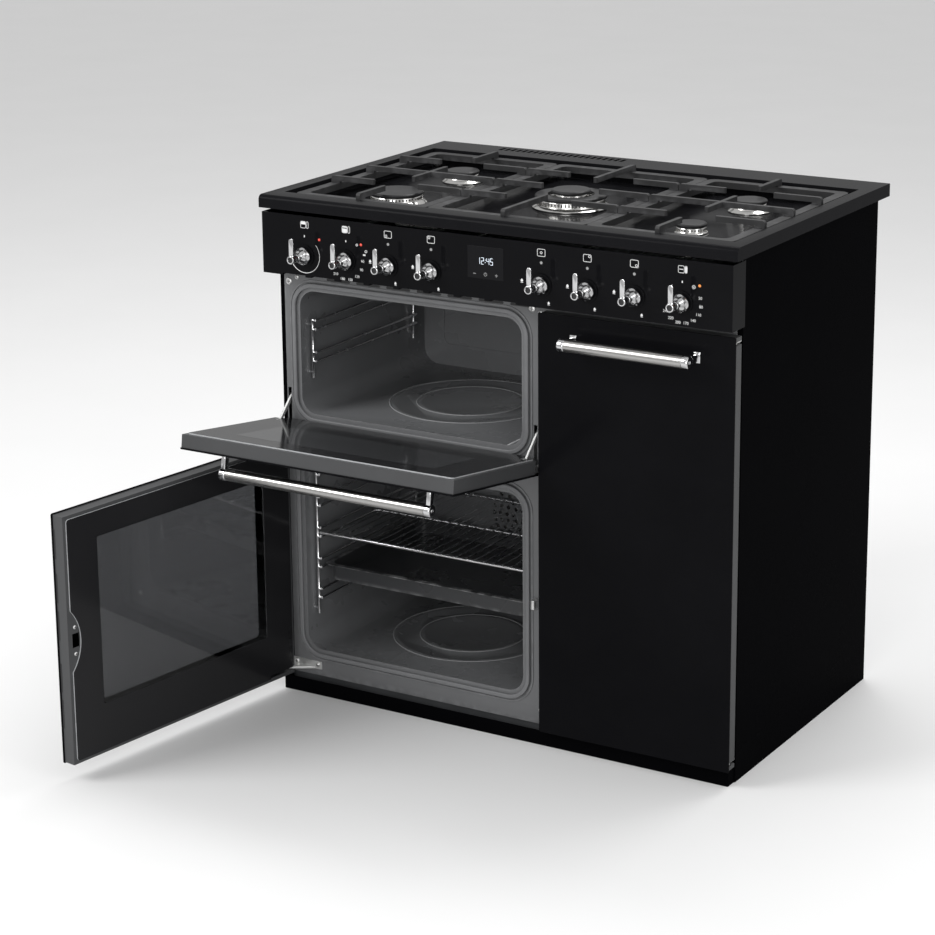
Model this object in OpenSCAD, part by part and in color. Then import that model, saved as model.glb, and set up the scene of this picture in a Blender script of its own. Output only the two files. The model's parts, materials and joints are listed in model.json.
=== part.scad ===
// Free-standing range cooker, 90 cm wide: a gas hob with five burners, eight lever knobs, a clock and three ovens.
// Millimetres. The origin is on the floor, at the centre of the cabinet's footprint. +X is right, +Z is up,
// and the front faces -Y. At rest the two left doors stand open and the right door is shut.

/* [Cabinet] */
// Width over the side panels
cab_w = 880; // [740:10:1060]
// Depth from the side panels' front edges to the back panel's rear face
cab_d = 530; // [450:10:640]
// Height of the hob's rim above the floor
total_h = 900; // [760:10:1080]
// Thickness of the cabinet's sheet steel
sheet = 2; // [1:0.5:3]
// Height of the plinth
plinth_h = 26; // [20:1:60]
// How far the plinth stands in front of the side panels
plinth_out = 23; // [10:1:30]

/* [Hob] */
// Overhang of the hob past each side panel
hob_side_over = 10; // [6:1:20]
// Overhang of the hob past the front of the side panels
hob_front_over = 44; // [44:1:60]
// Overhang of the hob past the back panel
hob_back_over = 26; // [26:1:40]
// Height of the hob's rim
rim_h = 22; // [20:1:30]
// Depth of the spill bowl below the rim
bowl_depth = 28; // [24:1:34]
// Radius of the rolled front edge
nose_r = 9; // [5:1:12]
// Distance between the front and the rear burners
burner_pitch = 220; // [180:5:260]
// Width of the centre pan support
centre_support_w = 300; // [240:10:320]
// Height of the pan supports' tops above the rim
support_rise = 8; // [6:1:16]
// Width of a pan support's finger
finger_w = 8; // [7:1:12]

/* [Control panel] */
// Height of the control panel with the gap above it
panel_h = 112; // [100:1:130]
// Gap between the hob's rim and the control panel
rim_gap = 6; // [3:1:10]
// Gap between the control panel and the doors
panel_gap = 10; // [6:1:14]
// Height of the knobs' axes above the panel's bottom edge
knob_rise = 38; // [34:1:50]
// Distance from the panel's end to the outermost knob's axis
knob_end = 87; // [60:1:100]
// Distance from the panel's middle to the nearest knob's axis
knob_inner = 104; // [80:1:120]
// Length of a knob in front of the panel
knob_len = 44; // [36:1:50]
// Length of a knob's lever above its axis
lever_len = 36; // [28:1:42]
// Travel of the gas knobs when pushed in
push_travel = 4; // [2:0.5:4]
// Width of the clock's glass
display_w = 68; // [50:1:90]
// Height of the clock's glass
display_h = 54; // [40:1:60]

/* [Doors] */
// Thickness of the doors
door_t = 28; // [26:1:40]
// Gap between neighbouring doors
door_gap = 4; // [3:0.5:6]
// How far the doors stand out past the side panels
door_side_over = 5; // [2:1:8]
// Width of the right door
right_door_w = 353; // [300:1:420]
// Height of the upper left door
upper_door_h = 292; // [240:1:330]
// Opening angle of the upper left door as stored, from shut
upper_open = 82; // [81:0.5:88]
// Opening angle of the lower left door as stored, from shut
lower_open = 98; // [85:1:100]
// Distance from a door's outer face to the middle of its handle bar
handle_off = 37; // [30:1:37]
// Distance from a door's top edge to the middle of its handle bar
handle_drop = 39; // [30:1:50]
// Distance from a door's side edges to its handle's ends
handle_inset = 60; // [40:1:90]
// Radius of a handle bar
handle_r = 10.5; // [7:0.5:12]

/* [Ovens] */
// Distance from a door's side edge to the oven's mouth
mouth_side = 46; // [42:1:60]
// Distance from a door's bottom edge to the oven's mouth
mouth_bottom = 48; // [44:1:60]
// Distance from a tall or upper door's top edge to the oven's mouth
mouth_top = 25; // [24:1:40]
// Radius of the mouth's corners
mouth_r = 30; // [15:1:40]
// Depth of the ovens
oven_d = 398; // [330:1:420]
// Wall thickness of the oven cavities
oven_wall = 2; // [1:0.5:3]
// Height of the lowest shelf level above the cavity's floor
level_first = 87; // [60:1:100]
// Distance between shelf levels
level_pitch = 57; // [45:1:70]
// Radius of the side racks' wire
wire_r = 2.5; // [2:0.5:3]
// Radius of the fan
fan_r = 62; // [50:1:66]

/* [Hidden] */
$fn = 48;

// Planes of the cabinet
side_x = cab_w / 2;
front_y = -cab_d / 2;
back_y = cab_d / 2;
inner_x = side_x - sheet;

// Hob: rim, spill bowl and the pan supports' field inside it
hob_x = side_x + hob_side_over;
hob_y0 = front_y - hob_front_over;
hob_y1 = back_y + hob_back_over;
rim_z0 = total_h - rim_h;
hob_sheet = 3;
bowl_x = hob_x - 25;
bowl_y0 = hob_y0 + 42;
bowl_y1 = hob_y1 - 76;
bowl_z = total_h - bowl_depth;
bowl_sheet = 2;
field_margin = 10;
field_x = bowl_x - field_margin;
field_y0 = bowl_y0 + 12;
field_y1 = bowl_y1 - field_margin;
field_cy = (field_y0 + field_y1) / 2;
support_gap = 1;
side_cx = (field_x + centre_support_w / 2) / 2 + support_gap / 2;
// Each burner: x, y, radius of cap, radius of flange, radius of cup
rear_y = field_cy + burner_pitch / 2;
fore_y = field_cy - burner_pitch / 2;
large = [47, 53, 26];
medium = [30, 37, 20];
small = [26, 28, 16];
burners = [concat([-side_cx, fore_y], large), concat([-side_cx, rear_y], medium),
    concat([side_cx, rear_y], medium), concat([side_cx, fore_y], small)];
wok = [62, 67, 36];
cup_h = 20;
cup_z = bowl_z - bowl_sheet - cup_h;
crown_z = bowl_z + 15;

// Control panel and knobs
panel_sheet = 2;
panel_x = side_x + 3;
panel_y = hob_y0 - 1;
panel_back = panel_y + panel_sheet;
panel_z0 = rim_z0 - panel_h;
knob_z = panel_z0 + knob_rise;
knob_pitch = (panel_x - knob_end - knob_inner) / 3;
knob_xs = [for (s = [-1, 1], i = [0:3]) s * (s < 0 ? knob_inner + (3 - i) * knob_pitch : knob_inner + i * knob_pitch)];
oven_knobs = [0, 1, 7];
gas_knobs = [2, 3, 4, 5, 6];
bezel_r = 19;
bezel_t = 2.5;
spindle_r = 4;
fit = 0.06;
knob_foot = panel_y - bezel_t - push_travel - 1;
knob_tip = panel_y - knob_len;
spindle_end = panel_y + 20;
sleeve_r = spindle_r + fit + 1.5;
sleeve_y0 = panel_y + 7;
sleeve_len = 20;
tap_y0 = panel_y + 13;
tap_half = 12;
tap_rise = 14;
pipe_r = 9;
pipe_y = front_y + 3;
pipe_x = side_x - 25;
tube_r = 4;
tube_z = knob_z + tap_rise + 17;
display_z = knob_z + 25;

// Front frame, doors and their pivots
frame_t = 2;
frame_y = front_y - frame_t;
frame_inset = 9.5;
frame_z0 = plinth_h + 2;
door_in = frame_y - 6;
door_y = door_in - door_t;
door_x = side_x + door_side_over;
door_z0 = plinth_h + 4;
door_z1 = panel_z0 - panel_gap;
frame_z1 = door_z1 + 8;
right_x0 = door_x - right_door_w;
left_x1 = right_x0 - door_gap;
upper_z0 = door_z1 - upper_door_h;
lower_z1 = upper_z0 - door_gap;
skin_t = 3;
pane_t = 2.5;
liner_in = door_in - pane_t;
liner_sheet = 1.6;
hinge_y = door_y + 10;
upper_hinge_z = upper_z0 + 22.5;
upper_liner_z0 = upper_hinge_z - 10;
hinge_in = 10;
lower_hinge_x = -door_x + hinge_in;
right_hinge_x = door_x - hinge_in;
pin_r = 4;
arm_r = 6.5;
arm_w = 7;
arm_t = 4;
arm_gap = 1;
arm_inset = 10;
arm_foot = 50;
block = 26;
flange_w = side_x - arm_r + 3 - (side_x - 15);
stay_w = 6;
stay_t = 4;
stay_in = 18;
window_side = 68;
window_top = 48;
window_bottom = 85;
upper_window_bottom = 96;
keeper = [10, 16, 16];
keeper_in = 14;

// Ovens: mouths as [x0, z0, x1, z1]
mouth_z = door_z0 + mouth_bottom;
upper_mouth = [-door_x + mouth_side, upper_z0 + mouth_bottom, left_x1 - mouth_side, door_z1 - mouth_top];
lower_mouth = [-door_x + mouth_side, mouth_z, left_x1 - mouth_side, lower_z1 - mouth_top - 5];
right_mouth = [right_x0 + mouth_side, mouth_z, door_x - mouth_side, door_z1 - mouth_top];
mouths = [upper_mouth, lower_mouth, right_mouth];
oven_y1 = front_y + oven_d;
oven_back = oven_y1 + oven_wall;
rack_y0 = front_y + 25;
rack_y1 = oven_y1 - 48;
rack_post = wire_r + 3.5;
rack_in = rack_post + 2 * wire_r + 1;
rung_gap = 16;
function levels(m) = floor((m[3] - m[1] - level_first - rung_gap - 5) / level_pitch) + 1;
shelf_level = min(2, levels(lower_mouth) - 1);
tray_level = max(0, shelf_level - 1);
rest_gap = 0.3;
shelf_in = rack_post + wire_r + 1.2;
rod_r = 3;
shelf_z = lower_mouth[1] + level_first + shelf_level * level_pitch + wire_r + rest_gap + rod_r;
tray_z = lower_mouth[1] + level_first + tray_level * level_pitch + wire_r + rest_gap;
tray_depth = 28;
tray_t = 1.5;
cover_y = oven_y1 - 33;
cover_r = fan_r + 33;
fan_y = oven_y1 - 27;
fan_depth = 20;
element_r = fan_r + 14;
coil_r = 3.5;
motor_len = 40;
fan_mouths = [lower_mouth, right_mouth];
function mid_x(m) = (m[0] + m[2]) / 2;
function mid_z(m) = (m[1] + m[3]) / 2;

// ---- Shapes that repeat ----

// A rectangle with round corners
module rounded(x0, z0, x1, z1, r) {
    translate([x0 + r, z0]) square([x1 - x0 - 2 * r, z1 - z0]);
    translate([x0, z0 + r]) square([x1 - x0, z1 - z0 - 2 * r]);
    for (x = [x0 + r, x1 - r], z = [z0 + r, z1 - r]) translate([x, z]) circle(r);
}

// A mouth's outline, grown by g
module mouth(m, g = 0) rounded(m[0] - g, m[1] - g, m[2] + g, m[3] + g, mouth_r + g);

// A drawing in X and Z, made solid from y0 back to y1
module upright(y0, y1) translate([0, y1, 0]) rotate([90, 0, 0]) linear_extrude(y1 - y0) children();

// A box from corner to corner
module box(a, b) translate(a) cube(b - a);

// Round bars along each axis
module bar_x(x0, x1, y, z, r) translate([x0, y, z]) rotate([0, 90, 0]) cylinder(r = r, h = x1 - x0);
module bar_y(y0, y1, x, z, r) translate([x, y0, z]) rotate([-90, 0, 0]) cylinder(r = r, h = y1 - y0);
module bar_z(z0, z1, x, y, r) translate([x, y, z0]) cylinder(r = r, h = z1 - z0);

// Turns a piece drawn with its door shut to the stored, open place
module upper_swing() translate([0, hinge_y, upper_hinge_z]) rotate([upper_open, 0, 0])
    translate([0, -hinge_y, -upper_hinge_z]) children();
module lower_swing() translate([lower_hinge_x, hinge_y, 0]) rotate([0, 0, -lower_open])
    translate([-lower_hinge_x, -hinge_y, 0]) children();

// ---- Cabinet ----

module base_frame() {
    beam = 40;
    color([0.09, 0.09, 0.1]) difference() {
        box([-inner_x, front_y + 3, 0], [inner_x, back_y - sheet, plinth_h]);
        box([-inner_x + beam, front_y + 3 + beam, -1], [inner_x - beam, back_y - sheet - beam, plinth_h + 1]);
        for (x = foot_xs(), y = foot_ys()) {
            bar_z(-1, plinth_h + 1, x, y, foot_r + fit);
            bar_z(-1, foot_pad_h + 1, x, y, foot_pad_r + 1);
        }
    }
}

foot_r = 6;
foot_pad_r = 16;
foot_pad_h = 8;
function foot_xs() = [-inner_x + 20, inner_x - 20];
function foot_ys() = [front_y + 23, back_y - sheet - 20];

module levelling_feet() {
    color([0.35, 0.35, 0.36]) for (x = foot_xs(), y = foot_ys()) {
        bar_z(0, foot_pad_h, x, y, foot_pad_r);
        bar_z(foot_pad_h, plinth_h + 24, x, y, foot_r);
    }
}

module plinth() {
    color([0.03, 0.03, 0.035]) {
        box([-inner_x, front_y - plinth_out, 0], [inner_x, front_y - plinth_out + sheet, plinth_h]);
        for (s = [-1, 1]) translate([s * (inner_x - sheet / 2), front_y - plinth_out / 2 + 1.5, plinth_h / 2])
            cube([sheet, plinth_out + 3, plinth_h], center = true);
    }
}

module side_panel(s) {
    flange_top = total_h - 34;
    color([0.03, 0.03, 0.035]) {
        translate([s * (side_x - sheet / 2), 0, (total_h - hob_sheet) / 2])
            cube([sheet, cab_d - 0.001, total_h - hob_sheet], center = true);
        translate([s * (side_x - flange_w / 2), front_y + sheet / 2, (frame_z0 + flange_top) / 2])
            cube([flange_w, sheet, flange_top - frame_z0], center = true);
    }
}

module side_panel_left() side_panel(-1);
module side_panel_right() side_panel(1);

vent_slot_w = 60;
gland_x = side_x - 60;
gland_z = 120;
gland_r = 11;
anti_tip_z = total_h - 60;
anti_tip_x = 150;
anti_tip_r = 3.2;

module back_panel() {
    color([0.5, 0.5, 0.52]) upright(back_y - sheet, back_y) difference() {
        translate([-inner_x, 0]) square([2 * inner_x, total_h - 34]);
        for (x = [-2:2], z = [0:5]) translate([x * 110 - vent_slot_w / 2, total_h * 0.55 + z * 16])
            square([vent_slot_w, 6]);
        translate([-pipe_x, knob_z]) circle(pipe_r + 5);
        translate([gland_x, gland_z]) circle(gland_r);
        for (s = [-1, 1]) translate([s * anti_tip_x, anti_tip_z]) circle(anti_tip_r);
    }
}

module front_frame() {
    color([0.33, 0.34, 0.35]) difference() {
        union() {
            upright(frame_y, front_y) difference() {
                translate([-side_x + frame_inset, frame_z0])
                    square([2 * (side_x - frame_inset), frame_z1 - frame_z0]);
                for (m = mouths) mouth(m);
            }
            for (m = mouths) upright(frame_y - 1.5, frame_y) difference() {
                mouth(m, 20.5);
                mouth(m, 17.5);
            }
        }
        for (x = stay_xs()) box([x - stay_t / 2 - 1.2, frame_y - 2, upper_hinge_z + stay_low()],
            [x + stay_t / 2 + 1.2, front_y + 1, upper_hinge_z + stay_high()]);
    }
}

// ---- Ovens ----

module cavity(m) {
    bead_w = 18;
    bead_h = 2;
    color([0.2, 0.2, 0.21]) {
        difference() {
            upright(front_y, oven_back) mouth(m, oven_wall);
            upright(front_y - 1, oven_y1) mouth(m);
            if (m != upper_mouth) bar_y(oven_y1 - 1, oven_back + 1, mid_x(m), mid_z(m), spindle_r + 4);
        }
        for (r = m == right_mouth ? [72, 104] : [90, 138]) translate([mid_x(m), front_y + oven_d / 2, m[1]])
            rotate_extrude($fn = 64) translate([r, 0]) polygon([[-bead_w / 2, -oven_wall / 2], [bead_w / 2, -oven_wall / 2],
                [bead_w / 2, 0], [bead_w / 2 - 2 * bead_h, bead_h], [2 * bead_h - bead_w / 2, bead_h], [-bead_w / 2, 0]]);
    }
}

module upper_cavity() cavity(upper_mouth);
module lower_cavity() cavity(lower_mouth);
module right_cavity() cavity(right_mouth);

module door_gaskets() {
    color([0.12, 0.12, 0.12]) for (m = mouths) {
        upright(frame_y - 5.3, frame_y) difference() {
            mouth(m, 15);
            mouth(m, 7);
        }
    }
}

// One side's rack: posts against the wall and pairs of rungs that the shelves slide between
module rack(m, s) {
    wall = s < 0 ? m[0] : m[2];
    x_post = wall - s * rack_post;
    x_rung = wall - s * rack_in;
    top = m[1] + level_first + (levels(m) - 1) * level_pitch + rung_gap;
    for (y = [rack_y0, rack_y1]) {
        bar_z(m[1] + level_first - 30, top + wire_r, x_post, y, wire_r);
        for (z = [m[1] + level_first - 20, min(top - rung_gap / 2, m[3] - mouth_r - wire_r)])
            bar_x(min(wall, x_post), max(wall, x_post), y, z, wire_r);
    }
    for (i = [0:levels(m) - 1], g = [0, rung_gap]) {
        z = m[1] + level_first + i * level_pitch + g;
        bar_y(rack_y0, rack_y1, x_rung, z, wire_r);
        for (y = [rack_y0, rack_y1]) bar_x(min(x_rung, x_post), max(x_rung, x_post), y, z, wire_r);
    }
}

module shelf_racks() color([0.75, 0.75, 0.76]) for (m = mouths, s = [-1, 1]) rack(m, s);

module fan_covers() {
    color([0.3, 0.3, 0.31]) for (m = fan_mouths) {
        x = mid_x(m);
        z = mid_z(m);
        difference() {
            upright(cover_y, oven_y1) rounded(x - cover_r, z - cover_r, x + cover_r, z + cover_r, 20);
            upright(cover_y + 1.5, oven_y1 + 1)
                rounded(x - cover_r + 2, z - cover_r + 2, x + cover_r - 2, z + cover_r - 2, 18);
            upright(cover_y - 1, cover_y + 3) translate([x, z]) {
                for (ring = [1:4], i = [0:ring * 6 - 1])
                    rotate(i * 60 / ring) translate([ring * 13, 0]) circle(4, $fn = 16);
            }
        }
    }
}

module fan(m) {
    blades = 10;
    color([0.6, 0.6, 0.61]) translate([mid_x(m), fan_y, mid_z(m)]) rotate([-90, 0, 0]) {
        cylinder(r = fan_r, h = 1.5);
        cylinder(r = 12, h = 12);
        cylinder(r = spindle_r, h = oven_back - fan_y + 30);
        for (i = [0:blades - 1]) rotate(i * 360 / blades) translate([fan_r - 26, -0.75, 0])
            cube([24, 1.5, fan_depth]);
    }
}

module lower_fan() fan(lower_mouth);
module right_fan() fan(right_mouth);

module fan_motors() {
    color([0.45, 0.45, 0.46]) for (m = fan_mouths) difference() {
        bar_y(oven_back, oven_back + motor_len, mid_x(m), mid_z(m), 32);
        bar_y(oven_back - 1, oven_back + motor_len - 5, mid_x(m), mid_z(m), spindle_r + fit);
    }
}

module heating_elements() {
    color([0.28, 0.26, 0.25]) {
        for (m = fan_mouths) {
            translate([mid_x(m), oven_y1 - 14, mid_z(m)]) rotate([90, 0, 0])
                rotate_extrude($fn = 64) translate([element_r, 0]) circle(coil_r, $fn = 16);
            for (s = [-1, 1]) bar_y(oven_y1 - 14, oven_y1, mid_x(m) + s * element_r, mid_z(m), coil_r + 1);
        }
        grill(upper_mouth);
    }
}

// A bent heating rod below the ceiling: four runs joined by half rings
module grill(m) {
    runs = 4;
    pitch = floor((m[2] - m[0] - 120) / (runs - 1));
    bend = pitch / 2;
    y0 = front_y + 50 + bend;
    y1 = oven_y1 - 40 - bend;
    translate([mid_x(m) - bend * (runs - 1), 0, m[3] - 14]) {
        for (i = [0:runs - 1]) bar_y(y0, i == 0 || i == runs - 1 ? oven_y1 : y1, i * pitch, 0, coil_r);
        for (i = [0:runs - 2]) translate([(i + 0.5) * pitch, i % 2 == 0 ? y0 : y1, 0])
            rotate([0, 0, i % 2 == 0 ? 180 : 0])
            rotate_extrude(angle = 180, $fn = 64) translate([bend, 0]) circle(coil_r, $fn = 16);
    }
}

module oven_lamps() {
    color([0.9, 0.88, 0.8, 0.6]) for (m = mouths) {
        translate([m[0] + 45, oven_y1, m[3] - 45]) rotate([90, 0, 0]) {
            cylinder(r = 19, h = 5);
            cylinder(r = 15, h = 14);
        }
    }
}

module wire_shelf() {
    x0 = lower_mouth[0] + shelf_in;
    x1 = lower_mouth[2] - shelf_in;
    y0 = rack_y0 + 4;
    side = 12;
    bars = 21;
    pitch = (x1 - x0 - 2 * side) / (bars + 1);
    color([0.72, 0.72, 0.73]) {
        for (y = [y0, mid(y0, rack_y1), rack_y1]) bar_x(x0, x1, y, shelf_z, rod_r);
        for (x = [x0 + side, x1 - side]) bar_y(y0, rack_y1, x, shelf_z, rod_r);
        for (i = [1:bars]) bar_y(y0, rack_y1, x0 + side + i * pitch, shelf_z + 2, 1.6);
    }
}

function mid(a, b) = (a + b) / 2;

module baking_tray() {
    x0 = lower_mouth[0] + shelf_in;
    x1 = lower_mouth[2] - shelf_in;
    y0 = rack_y0 + 8;
    rim = 8;
    r = 18;
    color([0.1, 0.1, 0.11]) difference() {
        union() {
            translate([0, 0, tray_z]) linear_extrude(tray_t) rounded(x0, y0, x1, rack_y1, r);
            translate([0, 0, tray_z - tray_depth]) linear_extrude(tray_depth)
                rounded(x0 + rim, y0 + rim, x1 - rim, rack_y1 - rim, r);
        }
        translate([0, 0, tray_z - tray_depth + tray_t]) linear_extrude(tray_depth + 5)
            rounded(x0 + rim + tray_t, y0 + rim + tray_t, x1 - rim - tray_t, rack_y1 - rim - tray_t, r);
    }
}

// ---- Hob ----

module hob_top() {
    slots = 22;
    slot_pitch = 12;
    slot_x = mid_x(upper_mouth) - slots * slot_pitch / 2;
    color([0.03, 0.03, 0.035]) difference() {
        union() {
            // Rim: top plate and skirt, with the rolled nose along the front
            difference() {
                box([-hob_x, hob_y0 + nose_r, rim_z0], [hob_x, hob_y1, total_h]);
                box([-hob_x + hob_sheet, hob_y0 - 1, rim_z0 - 1], [hob_x - hob_sheet, hob_y1 - hob_sheet, total_h - hob_sheet]);
            }
            intersection() {
                difference() {
                    bar_x(-hob_x, hob_x, hob_y0 + nose_r, total_h - nose_r, nose_r);
                    bar_x(-hob_x + hob_sheet, hob_x - hob_sheet, hob_y0 + nose_r, total_h - nose_r, nose_r - hob_sheet);
                }
                box([-hob_x - 1, hob_y0 - 1, total_h - nose_r], [hob_x + 1, hob_y0 + nose_r, total_h + 1]);
            }
            box([-hob_x, hob_y0, rim_z0], [hob_x, hob_y0 + hob_sheet, total_h - nose_r]);
            for (s = [-1, 1]) translate([s * (hob_x - hob_sheet / 2), hob_y0 + nose_r / 2, mid(rim_z0, total_h - nose_r)])
                cube([hob_sheet, nose_r, total_h - nose_r - rim_z0], center = true);
            box([-bowl_x - bowl_sheet, bowl_y0 - bowl_sheet, bowl_z - bowl_sheet],
                [bowl_x + bowl_sheet, bowl_y1 + bowl_sheet, total_h]);
        }
        box([-bowl_x, bowl_y0, bowl_z], [bowl_x, bowl_y1, total_h + 1]);
        for (b = burners) bar_z(bowl_z - 5, bowl_z + 1, b[0], b[1], b[4] - 6);
        bar_z(bowl_z - 5, bowl_z + 1, 0, field_cy, wok[2] - 6);
        for (i = [0:slots - 1]) translate([slot_x + i * slot_pitch, hob_y1 - 36, total_h - 5]) cube([7, 22, 10]);
    }
}

module cup(x, y, r) translate([x, y, cup_z]) difference() {
    cylinder(r = r, h = cup_h);
    translate([0, 0, 3]) cylinder(r = r - 2, h = cup_h);
}

module burner_cups() {
    color([0.6, 0.6, 0.6]) {
        for (b = burners) cup(b[0], b[1], b[4]);
        cup(0, field_cy, wok[2]);
    }
}

module crown(x, y, cap_r, flange_r) translate([x, y, 0]) rotate_extrude()
    polygon([[cap_r - 14, bowl_z], [flange_r, bowl_z], [flange_r, bowl_z + 2], [cap_r + 1, bowl_z + 6],
        [cap_r - 1, crown_z], [cap_r - 14, crown_z]]);

module burner_crowns() {
    color([0.78, 0.77, 0.74]) {
        for (b = burners) crown(b[0], b[1], b[2], b[3]);
        translate([0, field_cy, 0]) rotate_extrude()
            polygon([[14, bowl_z], [wok[1], bowl_z], [wok[1], bowl_z + 3], [wok[0] - 1, bowl_z + 6],
                [wok[0] - 3, crown_z + 2], [wok[0] - 18, crown_z + 2], [wok[0] - 20, bowl_z + 6],
                [30, bowl_z + 6], [28, crown_z + 10], [14, crown_z + 10]]);
    }
}

module cap(x, y, z, r0, r1, h) translate([x, y, z]) rotate_extrude()
    polygon([[r0, 0], [r1 - 1, 0], [r1, 1], [r1, h - 2], [r1 - 2, h], [r0, h]]);

module burner_caps() {
    color([0.07, 0.07, 0.075]) {
        for (b = burners) cap(b[0], b[1], crown_z, 0, b[2], 6);
        cap(0, field_cy, crown_z + 2, wok[0] - 22, wok[0], 6);
        cap(0, field_cy, crown_z + 10, 0, 34, 6);
    }
}

// Pan supports: a low frame on four feet, and fingers that rise from it on lugs
finger_h = 9;
knee_r = 5;
frame_bar = 18;
bar_z1 = total_h + support_rise - 12;
bar_z0 = bar_z1 - 11;
stand_r = 6;
top_z = total_h + support_rise;

// A finger from its root on the frame at a to its tip at b, along X or along Y
module finger(a, b) {
    d = (b - a) / norm(b - a);
    turn = d[0] == 0 ? d[1] * 90 : (d[0] > 0 ? 0 : 180);
    translate([a[0], a[1], 0]) rotate([0, 0, turn]) {
        translate([knee_r, -finger_w / 2, top_z - finger_h]) cube([norm(b - a) - knee_r, finger_w, finger_h]);
        translate([norm(b - a), 0, top_z - finger_h]) cylinder(r = finger_w / 2, h = finger_h);
        translate([0, -finger_w / 2, bar_z0]) cube([frame_bar - 1, finger_w, top_z - knee_r - bar_z0]);
        translate([knee_r, finger_w / 2, top_z - knee_r]) rotate([90, 0, 0]) cylinder(r = knee_r, h = finger_w);
    }
}

module support_frame(x0, x1) {
    difference() {
        translate([0, 0, bar_z0]) linear_extrude(bar_z1 - bar_z0) rounded(x0, field_y0, x1, field_y1, 16);
        translate([0, 0, bar_z0 - 1]) linear_extrude(bar_z1 - bar_z0 + 2)
            rounded(x0 + frame_bar, field_y0 + frame_bar, x1 - frame_bar, field_y1 - frame_bar, 12);
    }
    in = frame_bar / 2;
    for (x = [x0 + in, x1 - in], y = [field_y0 + in, field_y1 - in]) bar_z(bowl_z, bar_z0 + 1, x, y, stand_r);
}

// Fingers of a side support: two burners, a bar across the middle and a short one along it
module side_support(s) {
    x0 = s < 0 ? -field_x : centre_support_w / 2 + support_gap;
    x1 = s < 0 ? -centre_support_w / 2 - support_gap : field_x;
    xc = (x0 + x1) / 2;
    reach = 84;
    color([0.12, 0.12, 0.125]) {
        support_frame(x0, x1);
        for (y = [fore_y, rear_y]) {
            finger([x0, y], [x0 + reach, y]);
            finger([x1, y], [x1 - reach, y]);
        }
        finger([x0, field_cy], [xc, field_cy]);
        finger([x1, field_cy], [xc, field_cy]);
        finger([xc, field_y0], [xc, field_y0 + reach - 5]);
        finger([xc, field_y1], [xc, field_y1 - reach + 5]);
        for (e = [-1, 1]) bar_z(top_z - finger_h, top_z, xc, field_cy + e * 52, finger_w / 2);
        translate([xc - finger_w / 2, field_cy - 52, top_z - finger_h]) cube([finger_w, 104, finger_h]);
    }
}

module pan_support_left() side_support(-1);
module pan_support_right() side_support(1);

module pan_support_centre() {
    x1 = centre_support_w / 2;
    tip = 58;
    color([0.12, 0.12, 0.125]) {
        support_frame(-x1, x1);
        for (y = [fore_y, rear_y], s = [-1, 1]) finger([s * x1, y], [s * (x1 - 84), y]);
        for (s = [-1, 1]) finger([s * x1, field_cy], [s * tip, field_cy]);
        finger([0, field_y0], [0, fore_y + 22]);
        finger([0, field_y1], [0, rear_y - 22]);
    }
}

// ---- Gas and controls ----

module gas_manifold() {
    thread_r = 10.5;
    color([0.55, 0.56, 0.57]) {
        bar_x(-pipe_x, knob_xs[6] + 30, pipe_y, knob_z, pipe_r);
        translate([-pipe_x, pipe_y, knob_z]) sphere(pipe_r);
        bar_y(pipe_y, back_y + 1, -pipe_x, knob_z, pipe_r);
        bar_y(back_y + 1, back_y + 20, -pipe_x, knob_z, thread_r);
        // Tabs that hold the pipe to the back of the front frame
        for (x = [knob_xs[1] - 40, knob_xs[5] + knob_pitch / 2])
            box([x - 10, front_y, frame_z1 - 18], [x + 10, front_y + 3, knob_z]);
    }
}

module gas_taps() {
    color([0.6, 0.55, 0.4]) for (i = gas_knobs) difference() {
        box([knob_xs[i] - tap_half, tap_y0, knob_z - tap_rise], [knob_xs[i] + tap_half, pipe_y, knob_z + tap_rise]);
        bar_x(knob_xs[i] - 20, knob_xs[i] + 20, pipe_y, knob_z, pipe_r + 0.05);
        bar_y(tap_y0 - 1, sleeve_y0 + sleeve_len + push_travel + 3, knob_xs[i], knob_z, sleeve_r + fit);
    }
}

// The burner that each gas knob feeds: front left, rear left, centre, rear right, front right
feeds = [[-side_cx, fore_y], [-side_cx, rear_y], [0, field_cy], [side_cx, rear_y], [side_cx, fore_y]];

module gas_tubes() {
    tube_y = tap_y0 + 12;
    color([0.7, 0.7, 0.7]) for (k = [0:4]) {
        x = knob_xs[gas_knobs[k]];
        b = feeds[k];
        bar_z(knob_z + tap_rise, tube_z, x, tube_y, tube_r);
        bar_y(tube_y, b[1], x, tube_z, tube_r);
        bar_x(min(x, b[0]), max(x, b[0]), b[1], tube_z, tube_r);
        bar_z(tube_z, cup_z, b[0], b[1], tube_r);
        for (p = [[x, tube_y], [x, b[1]], b]) translate([p[0], p[1], tube_z]) sphere(tube_r);
    }
}

module oven_controls() {
    color([0.85, 0.85, 0.82]) for (i = oven_knobs) difference() {
        box([knob_xs[i] - 20, panel_back, knob_z - 20], [knob_xs[i] + 20, panel_back + 34, knob_z + 20]);
        bar_y(panel_back - 1, spindle_end + 4, knob_xs[i], knob_z, spindle_r + fit);
    }
}

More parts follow.
